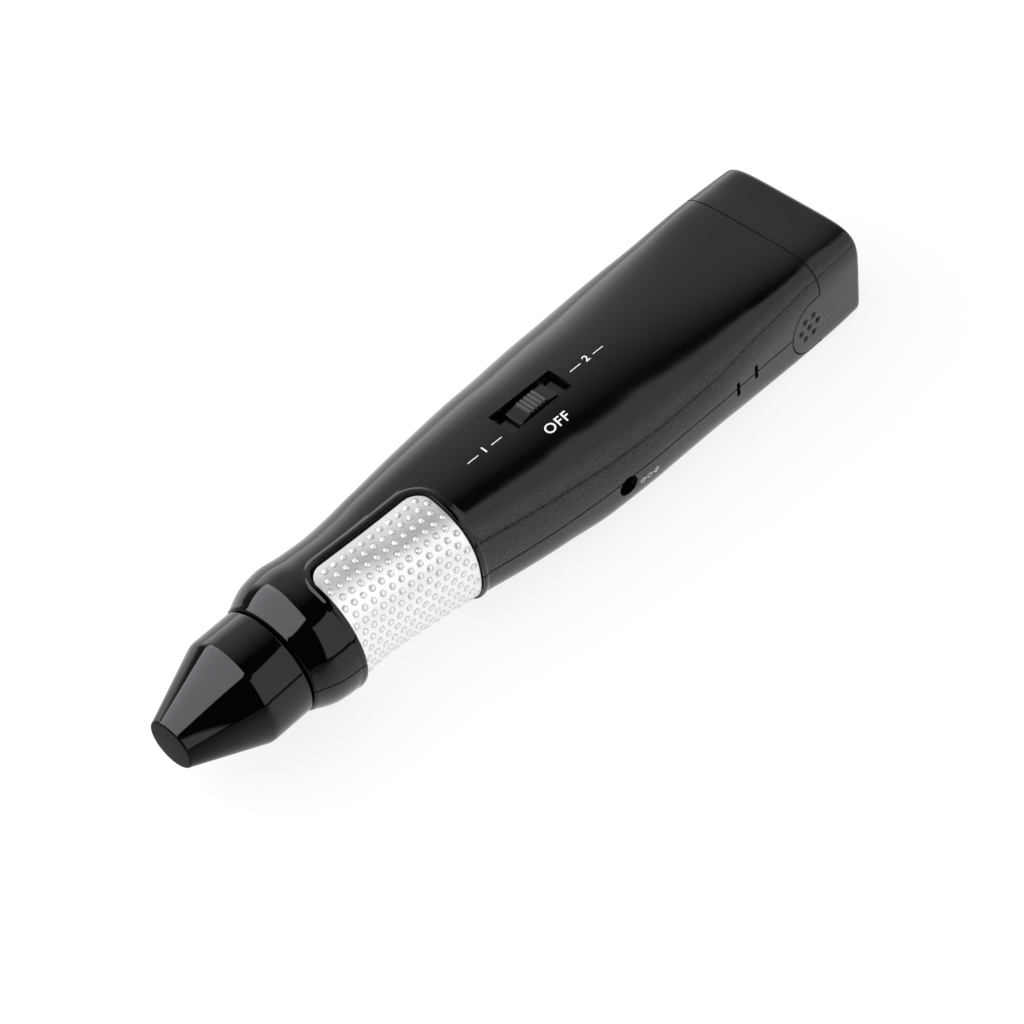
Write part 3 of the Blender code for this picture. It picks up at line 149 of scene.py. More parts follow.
def section(x, inset=0.0):
    """Half width, height over and under the parting line, its height and the roundness at x."""
    share = (x - collar_front) / (cad_high.x - collar_front)
    parting = column(4, share) * height
    upper, lower = column(5, share), column(6, share)
    if inset > 0:
        upper *= 1 + inset_squaring * (upper - 2)
        lower *= 1 + inset_squaring * (lower - 2)
    return (column(1, share) * width / 2 - inset, column(2, share) * height - parting - inset,
            parting - column(3, share) * height - inset, parting, upper, lower)


def ring(x, inset=0.0, drawn=False):
    """The outline at x, from +Y over the top and back below; a drawn one keeps the skin's roundness."""
    wide, high, deep, parting, upper, lower = section(x, inset)
    if drawn:
        upper, lower = section(x)[4:]
    points = []
    for i in range(2 * case_sides):
        angle = math.pi * i / case_sides
        c, s = math.cos(angle), math.sin(angle)
        power = 2 / (upper if i <= case_sides else lower)
        y = wide * math.copysign(abs(c) ** power, c)
        z = parting + (high if s >= 0 else deep) * math.copysign(abs(s) ** power, s)
        points.append(Vector((x, y, max(z, inset, 0.0))))
    return points


def smooth(piece, crease=40):
    """Shades a piece smooth but for the edges sharper than the crease in degrees."""
    piece.data.shade_smooth()
    piece.data.set_sharp_from_angle(angle=math.radians(crease))
    return piece


def add(name, bm, crease=40):
    """A bmesh as a smooth object in the scene."""
    bmesh.ops.recalc_face_normals(bm, faces=bm.faces)
    mesh = bpy.data.meshes.new(name)
    bm.to_mesh(mesh)
    bm.free()
    piece = bpy.data.objects.new(name, mesh)
    bpy.context.scene.collection.objects.link(piece)
    return smooth(piece, crease)


def loft(name, rings):
    """A closed skin over a row of outlines."""
    bm = bmesh.new()
    rows = [[bm.verts.new(p) for p in points] for points in rings]
    for a, b in zip(rows, rows[1:]):
        for i in range(len(a)):
            j = (i + 1) % len(a)
            bm.faces.new((a[i], a[j], b[j], b[i]))
    bm.faces.new(rows[0])
    bm.faces.new(rows[-1])
    bmesh.ops.remove_doubles(bm, verts=bm.verts, dist=weld)
    bmesh.ops.dissolve_degenerate(bm, edges=bm.edges, dist=weld)
    return add(name, bm)


def rods(name, ends, sides=32):
    """Round bars in one mesh, each given by its two ends and its radius."""
    bm = bmesh.new()
    for start, end, radius in ends:
        start, end = Vector(start), Vector(end)
        made = bmesh.ops.create_cone(bm, cap_ends=True, segments=sides, radius1=radius,
                                     radius2=radius, depth=(end - start).length)
        turn = (end - start).to_track_quat("Z", "Y").to_matrix().to_4x4()
        bmesh.ops.transform(bm, matrix=turn, verts=made["verts"])
        bmesh.ops.translate(bm, verts=made["verts"], vec=(start + end) / 2)
    return add(name, bm)


def prism(name, outline, place, push):
    """A flat outline, each point put in place by a function, then pushed along a vector."""
    bm = bmesh.new()
    face = bm.faces.new([bm.verts.new(place(*p)) for p in outline])
    pushed = bmesh.ops.extrude_face_region(bm, geom=[face])
    moved = [v for v in pushed["geom"] if isinstance(v, bmesh.types.BMVert)]
    bmesh.ops.translate(bm, verts=moved, vec=push)
    return add(name, bm)


def block(name, low, high):
    """A box between two opposite corners."""
    bm = bmesh.new()
    bmesh.ops.create_cube(bm, size=1.0)
    bmesh.ops.scale(bm, verts=bm.verts, vec=Vector(high) - Vector(low))
    bmesh.ops.translate(bm, verts=bm.verts, vec=(Vector(high) + Vector(low)) / 2)
    return add(name, bm)


def arc(cx, cy, radius, start, end, count):
    """Points on an arc between two angles in degrees."""
    turns = [math.radians(start + (end - start) * i / count) for i in range(count + 1)]
    return [(cx + radius * math.cos(a), cy + radius * math.sin(a)) for a in turns]


def shaped(piece):
    """The mesh of an object as its modifiers, or its curve, shape it."""
    bpy.context.view_layer.update()
    graph = bpy.context.evaluated_depsgraph_get()
    return bpy.data.meshes.new_from_object(piece.evaluated_get(graph))


def carve(piece, tool, operation="DIFFERENCE"):
    """Cuts, joins or keeps what the tool shares with the piece, and takes the tool away."""
    change = piece.modifiers.new("carve", "BOOLEAN")
    change.operation = operation
    change.solver = "MANIFOLD"
    change.object = tool
    mesh = shaped(piece)
    piece.modifiers.remove(change)
    piece.data = mesh
    bpy.data.objects.remove(tool, do_unlink=True)


def bore(piece, start, end, radius, sides=32):
    """Drills a round hole from one point to another."""
    carve(piece, rods("bore", [(start, end, radius)], sides))


# The hollow case; the skin is a copy just inside its outside, to which the posts are trimmed.
skin_inset = 0.0004
hollow_every = 3
cavity_front = collar_front + end_wall
case_xs = [along((i / case_steps) ** case_crowding) for i in range(case_steps + 1)]
hollow_xs = [x for x in case_xs[::hollow_every] if x > cavity_front + wall]
case = loft("case", [ring(x) for x in case_xs])
skin = loft("skin", [ring(x, skin_inset) for x in case_xs])
cavity_xs = [cavity_front] + [x for x in hollow_xs if x < cad_high.x - 2 * wall] + [cad_high.x + over]
carve(case, loft("cavity", [ring(x, wall) for x in cavity_xs]))

# The collar's hole for the nose cone's neck.
neck_hole_radius = 0.00897
bore(case, (collar_front - over, 0, nose_z), (collar_front + 2 * over, 0, nose_z), neck_hole_radius,
     bore_sides)

# Four posts that the case screws run up into.
post_radius = 0.0026
screws = [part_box("shell_screw_%d" % n) for n in (1, 2, 3, 4)]
post_places = [((low.x + high.x) / 2, (low.y + high.y) / 2) for low, high in screws]
posts = rods("posts", [((x, y, -over), (x, y, height), post_radius) for x, y in post_places])
carve(posts, skin, "INTERSECT")
carve(case, posts, "UNION")

# The touch plate's window, and the rounded lip that runs round it. The lip's path is laid on the
# unrolled case as (X, distance from the top's middle), and mirrored for the underside.
window_length = 0.0291
window_front = cad_low.x + 0.0356
window_rear = window_front + window_length
window_corner = 0.0040
corner_steps = 14
lip_radius = 0.0017
lip_rise = 0.0003
lip_out = 0.55 * lip_radius
lip_lap = 0.3 * lip_radius
lip_bury = 0.0004
lip_steps = 60
side_steps = 90
# How many outline steps past the middle of the top and of the underside a wrap holds.
wrap_spare = 6


def wrap(x):
    """The outline over the -Y side, as (distance from the top's middle, point)."""
    outline = ring(x)
    first = case_sides // 2 - wrap_spare
    points = [outline[(first + i) % (2 * case_sides)] for i in range(case_sides + 2 * wrap_spare + 1)]
    run = -sum((points[i + 1] - points[i]).length for i in range(wrap_spare))
    measured = [(run, points[0])]
    for a, b in zip(points, points[1:]):
        run += (b - a).length
        measured.append((run, b))
    return measured


def girth(measured):
    """The distance over the side from the top's middle to the underside's."""
    return measured[-1 - wrap_spare][0]


def on_wrap(measured, distance):
    """The point that far over the surface from the top's middle, and the normal there."""
    i = 1
    while i < len(measured) - 1 and measured[i][0] < distance:
        i += 1
    (d0, a), (d1, b) = measured[i - 1], measured[i]
    side = (b - a).normalized()
    return a.lerp(b, (distance - d0) / (d1 - d0)), Vector((0, side.z, -side.y))


def lip_point(x, distance, from_below=False):
    """The middle of the lip's round bar at a place, measured from the top or from below."""
    measured = wrap(x)
    place, normal = on_wrap(measured, girth(measured) - distance if from_below else distance)
    return place - normal * (lip_radius - lip_rise)


lip_corner = window_corner + lip_out
lip_start = lip_corner - lip_out
lip_front = window_front - lip_lap
lip_rear = window_rear + lip_lap
lip_run = lip_rear - lip_front - 2 * lip_corner
lip_half = arc(lip_front + lip_corner, lip_start, lip_corner, 180, 270, corner_steps)
lip_half += [(lip_front + lip_corner + lip_run * i / lip_steps, -lip_out) for i in range(1, lip_steps)]
lip_half += arc(lip_rear - lip_corner, lip_start, lip_corner, 270, 360, corner_steps)
lip_line = [lip_point(x, distance) for x, distance in lip_half]
lip_side = girth(wrap(lip_rear)) - 2 * lip_start
lip_line += [lip_point(lip_rear, lip_start + lip_side * i / side_steps) for i in range(1, side_steps)]
lip_line += [lip_point(x, distance, from_below=True) for x, distance in reversed(lip_half)]
lip_side = girth(wrap(lip_front)) - 2 * lip_start
lip_line += [lip_point(lip_front, lip_start + lip_side * (1 - i / side_steps))
             for i in range(1, side_steps)]


def flattened(curve):
    """The mesh of a curve or a text, with no object left behind."""
    shown = bpy.data.objects.new(curve.name, curve)
    bpy.context.scene.collection.objects.link(shown)
    mesh = shaped(shown)
    bpy.data.objects.remove(shown, do_unlink=True)
    return mesh


curve = bpy.data.curves.new("lip", "CURVE")
curve.dimensions = "3D"
curve.bevel_depth = lip_radius
curve.bevel_resolution = 8
spline = curve.splines.new("POLY")
spline.points.add(len(lip_line) - 1)
for point, place in zip(spline.points, lip_line):
    point.co = (*place, 1.0)
spline.use_cyclic_u = True
bm = bmesh.new()
bm.from_mesh(flattened(curve))
bmesh.ops.remove_doubles(bm, verts=bm.verts, dist=weld)
lip = add("lip", bm)
room_xs = [cavity_front + lip_bury] + [x for x in hollow_xs if x < lip_rear] + [lip_rear + 2 * lip_radius]
carve(lip, loft("lip_room", [ring(x, wall - lip_bury) for x in room_xs]))
carve(case, lip, "UNION")

window_inner = part_gap - window_corner
window_outline = [(window_front, cad_low.y - over), (window_rear, cad_low.y - over)]
window_outline += arc(window_rear - window_corner, window_inner, window_corner, 0, 90, corner_steps)
window_outline += arc(window_front + window_corner, window_inner, window_corner, 90, 180, corner_steps)
carve(case, prism("window", window_outline, lambda x, y: (x, y, -over), Vector((0, 0, height + 2 * over))))

# The switch's pocket: a tray moulded under the top, its walls sloped by the draft, with a slot
# in its floor for the knob's stem.
switch_x = along(0.4785)
switch_y = -0.0008
pocket_length = 0.0164
pocket_width = 0.0062
pocket_depth = 0.0020
pocket_slope = 0.0005
pocket_top = section(switch_x)[3] + section(switch_x)[1]
pocket_floor = pocket_top - pocket_depth
tray_margin = 0.0012
tray_rise = 0.0010
slot_reach_x = 0.0030
slot_reach_y = 0.0013
tray_x = pocket_length / 2 + tray_margin
tray_y = pocket_width / 2 + tray_margin
carve(case, block("tray", (switch_x - tray_x, switch_y - tray_y, pocket_floor - tray_rise),
                  (switch_x + tray_x, switch_y + tray_y, pocket_floor + tray_rise)), "UNION")
bm = bmesh.new()
bmesh.ops.create_cube(bm, size=1.0)
for vert in bm.verts:
    shrink = pocket_slope if vert.co.z < 0 else -pocket_slope
    vert.co.x = switch_x + math.copysign(pocket_length / 2 - 2 * shrink, vert.co.x)
    vert.co.y = switch_y + math.copysign(pocket_width / 2 - shrink, vert.co.y)
    vert.co.z = pocket_floor if vert.co.z < 0 else pocket_top + over
carve(case, add("pocket", bm))
carve(case, block("stem_slot", (switch_x - slot_reach_x, switch_y - slot_reach_y, pocket_floor - 2 * over),
                  (switch_x + slot_reach_x, switch_y + slot_reach_y, pocket_floor + part_gap)))

# The power inlet's hole and two pry slots, all through the -Y side.
jack_x = along(0.5176)
jack_z = 0.340 * height
jack_hole_radius = 0.00225
pry_z = 0.366 * height
pry_shares = (0.7314, 0.7700)
pry_half = Vector((0.0005, 0, 0.00175))
bore(case, (jack_x, cad_low.y - over, jack_z), (jack_x, cad_low.y / 2, jack_z), jack_hole_radius, 64)
for share in pry_shares:
    near = Vector((along(share), cad_low.y - over, pry_z)) - pry_half
    far = Vector((along(share), cad_low.y / 2, pry_z)) + pry_half
    carve(case, block("pry_slot", near, far))

# The rear end is left to the battery cover, with a notch on each side for the cover's tongue.
seam = along(0.9098)
tongue_x = along(0.8918)
tongue_z = 0.299 * height
tongue_radius = 0.0061
notch_radius = tongue_radius + part_gap
carve(case, block("rear_cut", (seam - part_gap / 2, 2 * cad_low.y, -over),
                  (2 * cad_high.x, 2 * cad_high.y, height)))
bore(case, (tongue_x, 2 * cad_low.y, tongue_z), (tongue_x, 2 * cad_high.y, tongue_z), notch_radius,
     bore_sides)
carve(case, block("notch_way", (tongue_x, 2 * cad_low.y, tongue_z - notch_radius),
                  (seam, 2 * cad_high.y, tongue_z + notch_radius)))

# A wide bore for each screw's head, from below, and a narrow one above it for the thread.
screw_head = 0.0016
head_bore_radius = 0.0023
thread_bore_radius = 0.0013
for (x, y), (low, high) in zip(post_places, screws):
    head_top = low.z + screw_head + part_gap
    bore(case, (x, y, -over), (x, y, head_top), head_bore_radius)
    bore(case, (x, y, head_top - over), (x, y, high.z + part_gap), thread_bore_radius)

# The parting line cuts the case into its two halves, with a fine gap left between them.
parting_line = [(x, section(x)[3]) for x in [collar_front - 2 * over] + case_xs[1:] + [cad_high.x + over]]
shells = []
for name, way in (("upper_shell", 1), ("lower_shell", -1)):
    edge = [(x, z + way * part_gap / 2) for x, z in parting_line]
    away = -2 * over if way > 0 else height + 2 * over
    cutter = prism("parting", edge + [(edge[-1][0], away), (edge[0][0], away)],
                   lambda x, z: (x, -width, z), Vector((0, 2 * width, 0)))
    shell = bpy.data.objects.new(name + "_moulded", case.data.copy())
    bpy.context.scene.collection.objects.link(shell)
    carve(shell, cutter)
    shells.append(smooth(shell))
    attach(shell, "housing")
    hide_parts(name)
bpy.data.objects.remove(case, do_unlink=True)


def hex_colour(code):
    """An sRGB hex colour as linear red, green, blue and alpha."""
    parts = [int(code[i:i + 2], 16) / 255 for i in (0, 2, 4)]
    return (*[c / 12.92 if c <= 0.04045 else ((c + 0.055) / 1.055) ** 2.4 for c in parts], 1.0)


def node(tree, kind, links=(), **settings):
    """Adds a node: settings are its own, links are its sockets' values or what feeds them."""
    made = tree.nodes.new(kind)
    for key, value in settings.items():
        setattr(made, key, value)
    for key, value in dict(links).items():
        if isinstance(value, bpy.types.NodeSocket):
            tree.links.new(value, made.inputs[key])
        else:
            made.inputs[key].default_value = value
    return made


def material(name, colour, roughness, metallic=0.0, ior=1.5):
    """A material with its shader, ready for what the real finish adds."""
    made = bpy.data.materials.new(name)
    made.use_nodes = True
    shader = made.node_tree.nodes["Principled BSDF"]
    shader.inputs["Specular IOR Level"].default_value = 0.4 if metallic == 0.0 else 0.5
    shader.inputs["Base Color"].default_value = hex_colour(colour)
    shader.inputs["Roughness"].default_value = roughness
    shader.inputs["Metallic"].default_value = metallic
    shader.inputs["IOR"].default_value = ior
    return made, made.node_tree, shader


def grain(tree, shader, spacing, depth, strength, low, high):
    """Grain of a real spacing in metres as bump, and a roughness that wanders 12.5 times as broadly."""
    place = node(tree, "ShaderNodeTexCoord").outputs["Object"]
    fine = node(tree, "ShaderNodeTexNoise", {
        "Vector": place, "Scale": 1 / spacing, "Detail": 3.0, "Roughness": 0.55})
    bump = node(tree, "ShaderNodeBump", {
        "Strength": strength, "Distance": depth, "Height": fine.outputs["Fac"]})
    tree.links.new(bump.outputs["Normal"], shader.inputs["Normal"])
    broad = node(tree, "ShaderNodeTexNoise", {"Vector": place, "Scale": 0.08 / spacing, "Detail": 2.0})
    rough = node(tree, "ShaderNodeMapRange", {
        "Value": broad.outputs["Fac"], "From Min": 0.3, "From Max": 0.7, "To Min": low, "To Max": high})
    tree.links.new(rough.outputs["Result"], shader.inputs["Roughness"])
    return fine.outputs["Fac"]


# Spark-eroded ABS: 0.12 mm grain, drawn at 0.25 mm. Its speckle is painted light grey on the walls,
# picked by which way a face looks, as painted sheen, while the top is left near black.
grained_abs, tree, shader = material("spark_eroded_black_abs", "050506", 0.09)
fine = grain(tree, shader, 0.00025, 0.00002, 0.4, 0.08, 0.13)
speckle = node(tree, "ShaderNodeMapRange", {"Value": fine, "From Min": 0.36, "From Max": 0.66})
facing = node(tree, "ShaderNodeTexCoord").outputs["Normal"]
upright = node(tree, "ShaderNodeSeparateXYZ", {"Vector": facing}).outputs["Z"]
# The walls, found by their normal, take a light grey speckle as painted sheen; the top stays near black.
sheen_by_facing = node(tree, "ShaderNodeMapRange", {"Value": upright, "From Min": 0.74, "From Max": 0.60})
painted_wall_sheen = node(tree, "ShaderNodeMix", {
    0: sheen_by_facing.outputs[0], 6: hex_colour("0b0b0b"), 7: hex_colour("3a3a38")}, data_type="RGBA")
tint = node(tree, "ShaderNodeMix", {
    0: speckle.outputs[0], 6: hex_colour("020202"), 7: painted_wall_sheen.outputs[2]}, data_type="RGBA")
tree.links.new(tint.outputs[2], shader.inputs["Base Color"])
# Polished ABS: a mirror skin with a 1.5 mm handling haze in the gloss.
polished_abs, tree, shader = material("polished_black_abs", "040404", 0.05)
grain(tree, shader, 0.0015, 0.000004, 0.05, 0.04, 0.07)

# The collar, the lip and the pocket's walls are polished.
proud = 0.00008
lip_reach = 3 * lip_radius


def stands_proud(point):
    """True where a point stands out of the case's plain section, as the lip does."""
    wide, high, deep, parting, upper, lower = section(point.x, -proud)
    reach, power = (high, upper) if point.z > parting else (deep, lower)
    return (abs(point.y) / wide) ** power + (abs(point.z - parting) / reach) ** power > 1


for shell in shells:
    shell.data.materials.clear()
    shell.data.materials.append(grained_abs)
    shell.data.materials.append(polished_abs)
    for face in shell.data.polygons:
        x, y, z = face.center
        in_pocket = (abs(x - switch_x) < pocket_length / 2 and abs(y - switch_y) < pocket_width / 2
                     and z > pocket_floor - over)
        on_lip = window_front - lip_reach < x < window_rear + lip_reach and stands_proud(face.center)
        if x < waist or in_pocket or on_lip:
            face.material_index = 1

# Touch plate
# Stainless sheet, pressed to the case's curve with rows of round bumps for the thumb, then
# polished. It wraps from the top round the side to the underside, seated 0.25 mm deep.
plate_sink = 0.00025
plate_thickness = 0.0008
plate_gap = 0.00015
plate_step = 0.00016
plate_edge = 0.0002
bump_pitch = 0.0023
bump_row = 0.0020
bump_radius = 0.00062
bump_height = 0.0002
bump_fullness = 1.5
bump_margin = 0.0009
foot_shade_start = 0.7
plate_front = window_front + plate_gap
plate_rear = window_rear - plate_gap
columns = int((plate_rear - plate_front) / plate_step)
rows = 290


def plate_drop(distance):
    """How far the pressed edge falls away, that far inside the plate's outline."""
    if distance >= plate_edge:
        return 0.0
    return plate_edge - math.sqrt(max(plate_edge ** 2 - (plate_edge - distance) ** 2, 0.0))


def plate_start(end):
    """Where the plate's long edge lies on the wrap, that far from the plate's nearer end."""
    inward = max(window_corner - end, 0.0)
    return plate_gap + window_corner - math.sqrt(window_corner ** 2 - inward ** 2)


def bump_share(x, u, stop):
    """How far out from the nearest bump's middle a place on the unrolled plate is; 1 is its foot."""
    row = round(u / bump_row)
    best = bump_radius
    for r in (row - 1, row, row + 1):
        shift = bump_pitch / 2 if r % 2 else 0.0
        near = round((x - shift) / bump_pitch) * bump_pitch + shift
        end = min(near, plate_rear - plate_front - near)
        if end > bump_margin and r * bump_row - plate_start(end) > bump_margin < stop - r * bump_row:
            best = min(best, math.hypot(x - near, u - r * bump_row))
    return best / bump_radius


bm = bmesh.new()
front_grid, back_grid, out_share = [], [], {}
for i in range(columns + 1):
    x = plate_front + (plate_rear - plate_front) * i / columns
    end = min(x - plate_front, plate_rear - x)
    start = plate_start(end)
    measured = wrap(x)
    stop = girth(measured) - start
    front_line, back_line = [], []
    for j in range(rows + 1):
        u = start + (stop - start) * j / rows
        place, normal = on_wrap(measured, u)
        share = bump_share(x - plate_front, u, stop)
        lift = bump_height * (1 - share ** 2) ** bump_fullness
        lift -= plate_sink + plate_drop(min(end, u - start, stop - u))
        front_line.append(bm.verts.new(place + normal * lift))
        back_line.append(bm.verts.new(place - normal * (plate_sink + plate_thickness)))
        out_share[front_line[-1]] = share
        out_share[back_line[-1]] = 0.0
    front_grid.append(front_line)
    back_grid.append(back_line)
for grid in (front_grid, back_grid):
    for a, b in zip(grid, grid[1:]):
        for j in range(rows):
            corners = (a[j], a[j + 1], b[j + 1], b[j])
            # Faces round a bump's foot take the painted shade ring.
            in_foot_shade = foot_shade_start < sum(out_share[vert] for vert in corners) / 4 < 1
            bm.faces.new(corners).material_index = 1 if in_foot_shade else 0
border = [(i, 0) for i in range(columns)] + [(columns, j) for j in range(rows)]
border += [(i, rows) for i in range(columns, 0, -1)] + [(0, j) for j in range(rows, 0, -1)]
for (i, j), (k, m) in zip(border, border[1:] + border[:1]):
    bm.faces.new((front_grid[i][j], front_grid[k][m], back_grid[k][m], back_grid[i][j]))
plate = add("touch_plate_pressed", bm, crease=50)
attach(plate, "housing")
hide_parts("touch_plate")
# Polished stainless: bright and near neutral, its gloss softened by 0.4 mm polishing waves.
steel, tree, shader = material("polished_stainless_steel", "fafafa", 0.36, metallic=0.9)
grain(tree, shader, 0.0004, 0.000006, 0.05, 0.34, 0.42)
plate.data.materials.append(steel)
# Round each bump's foot the steel is painted darker and a little rougher: rings of painted shade.
foot_shade_steel, tree, shader = material("stainless_painted_foot_shade", "ced0d2", 0.34, metallic=0.95)
grain(tree, shader, 0.0002, 0.000006, 0.1, 0.36, 0.48)
plate.data.materials.append(foot_shade_steel)

# Slide switch
# A knob moulded in charcoal ABS slides in the pocket. Five cross ribs give the thumb a grip,
# and a stem below reaches through the pocket's slot to the switch.
knob_low, knob_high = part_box("switch_knob")
knob_floor = pocket_floor + part_gap
knob_base = 0.0008
knob_top = 0.0012
knob_grip = 0.0050
knob_shoulder = 0.0002
knob_draft = 0.0005
knob_edge = 0.00012
rib_count = 5
rib_height = 0.0004
rib_share = 0.36
rib_steps = 8
stem_reach_x = 0.0008
stem_reach_y = 0.0010
stem_root = 0.0004
rib_pitch = knob_grip / rib_count
knob_half = (knob_high.x - knob_low.x) / 2
grip_end = knob_grip / 2 + knob_shoulder
outline = [(-knob_half, 0), (knob_half, 0), (knob_half, knob_base), (grip_end, knob_top)]
for i in range(rib_count):
    middle = knob_grip / 2 - rib_pitch * (i + 0.5)
    for k in range(rib_steps + 1):
        angle = math.pi * k / rib_steps
        outline.append((middle + rib_share * rib_pitch * math.cos(angle),
                        knob_top + rib_height * math.sin(angle)))
outline += [(-grip_end, knob_top), (-knob_half, knob_base)]
knob = prism("switch_knob_moulded", outline, lambda x, z: (switch_x + x, knob_low.y, knob_floor + z),
             Vector((0, knob_high.y - knob_low.y, 0)))
carve(knob, block("stem", (switch_x - stem_reach_x, switch_y - stem_reach_y, knob_low.z),
                  (switch_x + stem_reach_x, switch_y + stem_reach_y, knob_floor + stem_root)), "UNION")
for vert in knob.data.vertices:
    rise = max(vert.co.z - knob_floor - knob_base / 2, 0) / knob_top
    vert.co.y -= math.copysign(knob_draft * rise, vert.co.y - switch_y)
smooth(knob)
knob.data.materials.clear()
round_edges = knob.modifiers.new("edges", "BEVEL")
round_edges.width = knob_edge
round_edges.segments = 2
round_edges.limit_method = "ANGLE"
round_edges.angle_limit = math.radians(50)
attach(knob, "knob")
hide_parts("switch_knob")
# Charcoal ABS: moulded matt and dark, with the mould's 0.25 mm grain.
charcoal_abs, tree, shader = material("charcoal_abs", "0e0e0f", 0.24)
grain(tree, shader, 0.00025, 0.000006, 0.3, 0.20, 0.28)
knob.data.materials.append(charcoal_abs)
# The ribs' upward-facing crests, painted lighter grey as a painted highlight.
crest_highlight_abs, tree, shader = material("painted_crest_highlight_abs", "3c3c3d", 0.36)
grain(tree, shader, 0.0002, 0.000006, 0.3, 0.30, 0.42)
knob.data.materials.append(crest_highlight_abs)
crest_start = knob_floor + knob_top + 0.35 * rib_height
crest_tilt = 0.2
# Crest faces that look upward take the painted highlight.
for face in knob.data.polygons:
    if face.normal.z > crest_tilt and face.center.z > crest_start:
        face.material_index = 1

# Battery cover
# The rear end of the case in the same grained ABS. It slides off backward, pulled by a round
# tongue on each side that carries seven small domes. Its underside is relieved 0.4 mm.
rear_edge = 0.0014
edge_steps = 8
cover_steps = 40
cover_relief = 0.0004
grip_count = 7
grip_radius = 0.00085
grip_pitch = 0.0026
grip_flatness = 0.6
grip_sink = 0.0001
cover_start = tongue_x - tongue_radius - over
cover_run = cad_high.x - rear_edge - cover_start
cover_xs = [cover_start + cover_run * i / cover_steps for i in range(cover_steps + 1)]
cover_rings = [ring(x) for x in cover_xs]
for i in range(1, edge_steps + 1):
    a = math.pi / 2 * i / edge_steps
    cover_rings.append(ring(cad_high.x - rear_edge * (1 - math.sin(a)), rear_edge * (1 - math.cos(a)),
                            drawn=True))
cover = loft("battery_cover_moulded", cover_rings)
hollow_end = cad_high.x - end_wall
cup_xs = [cover_start - over] + [x for x in cover_xs[1:] if x < hollow_end - wall] + [hollow_end]
carve(cover, loft("cup", [ring(x, wall) for x in cup_xs]))
# What is ahead of the seam goes, but for the tongues.
front_cut = block("front_cut", (cover_start - 2 * over, 2 * cad_low.y, -over),
                  (seam + part_gap / 2, 2 * cad_high.y, height))
bore(front_cut, (tongue_x, 3 * cad_low.y, tongue_z), (tongue_x, 3 * cad_high.y, tongue_z), tongue_radius,
     bore_sides)
carve(front_cut, block("tongue_root", (tongue_x, 3 * cad_low.y, tongue_z - tongue_radius),
                       (seam + over, 3 * cad_high.y, tongue_z + tongue_radius)))
carve(cover, front_cut)
carve(cover, block("relief", (cover_start - over, 2 * cad_low.y, -over),
                   (cad_high.x + over, 2 * cad_high.y, cover_relief)))


def half_width(x, z):
    """How far the case reaches from its middle plane at a height."""
    wide, high, deep, parting, upper, lower = section(x)
    reach, power = (high, upper) if z > parting else (deep, lower)
    return wide * (1 - min(abs(z - parting) / reach, 1.0) ** power) ** (1 / power)


# Six domes round a seventh, on each tongue.
bm = bmesh.new()
for i in range(grip_count):
    angle = 2 * math.pi * i / (grip_count - 1)
    reach = grip_pitch if i < grip_count - 1 else 0.0
    x = tongue_x - grip_radius + reach * math.cos(angle)
    z = tongue_z + reach * math.sin(angle)
    for way in (1, -1):
        dome = bmesh.ops.create_uvsphere(bm, u_segments=20, v_segments=12, radius=grip_radius)
        bmesh.ops.scale(bm, verts=dome["verts"], vec=(1, grip_flatness, 1))
        bmesh.ops.translate(bm, verts=dome["verts"], vec=(x, way * (half_width(x, z) - grip_sink), z))
carve(cover, add("grips", bm), "UNION")
smooth(cover)
cover.data.materials.clear()
cover.data.materials.append(grained_abs)
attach(cover, "cover")
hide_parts("battery_cover")

# Nose cone, light ring and probe
# Turned parts on the nose axis. The charcoal cone passes through the collar and is held by its
# flange, a clear ring in its front lights the stone, and the brass barrel holds a sprung pin.
cap_radius = 0.388 * height
cap_tip_radius = 0.0053
cone_front_radius = 0.0053
cone_taper = 0.0141
cone_ease = 0.0004
neck_radius = 0.0086
flange_thickness = 0.0018
flange_step = 0.0006
flange_mouth_outer = 0.0028
flange_mouth_inner = 0.0034
socket_radius = 0.0036
socket_depth = 0.0034
throat_radius = 0.0045
chamber_depth = 0.0080
chamber_radius = 0.0068
# How much of a short edge the rounding of a corner may take.
short_share = 0.45


def turned(name, profile, body, node_name, look, sides=128):
    """A profile of (x, radius) turned about the nose axis, both its ends on the axis or joined."""
    bm = bmesh.new()
    rows = []
    for x, radius in profile:
        if radius <= 0:
            rows.append([bm.verts.new((x, 0, nose_z))])
        else:
            rows.append([bm.verts.new((x, y, nose_z + z)) for y, z in arc(0, 0, radius, 0, 360, sides)[:-1]])
    closed = len(rows[0]) > 1
    pairs = list(zip(rows, rows[1:])) + ([(rows[-1], rows[0])] if closed else [])
    for a, b in pairs:
        for i in range(sides):
            j = (i + 1) % sides
            corners = [a[i % len(a)], a[j % len(a)], b[j % len(b)], b[i % len(b)]]
            kept = [v for k, v in enumerate(corners) if v is not corners[k - 1]]
            if len(kept) > 2:
                bm.faces.new(kept)
    piece = add(name, bm, crease=32)
    piece.data.materials.append(look)
    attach(piece, body)
    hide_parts(node_name)
    return piece


def eased(points, radius, count=5):
    """The profile with each corner between its ends rounded, by less where an edge is short."""
    result = [points[0]]
    for before, corner, after in zip(points, points[1:], points[2:]):
        a, c, b = Vector(before), Vector(corner), Vector(after)
        cut = min(radius, (a - c).length * short_share, (b - c).length * short_share)
        p = c + (a - c).normalized() * cut
        q = c + (b - c).normalized() * cut
        for k in range(count + 1):
            t = k / count
            result.append(tuple(p * (1 - t) ** 2 + c * 2 * t * (1 - t) + q * t * t))
    return result + [points[-1]]


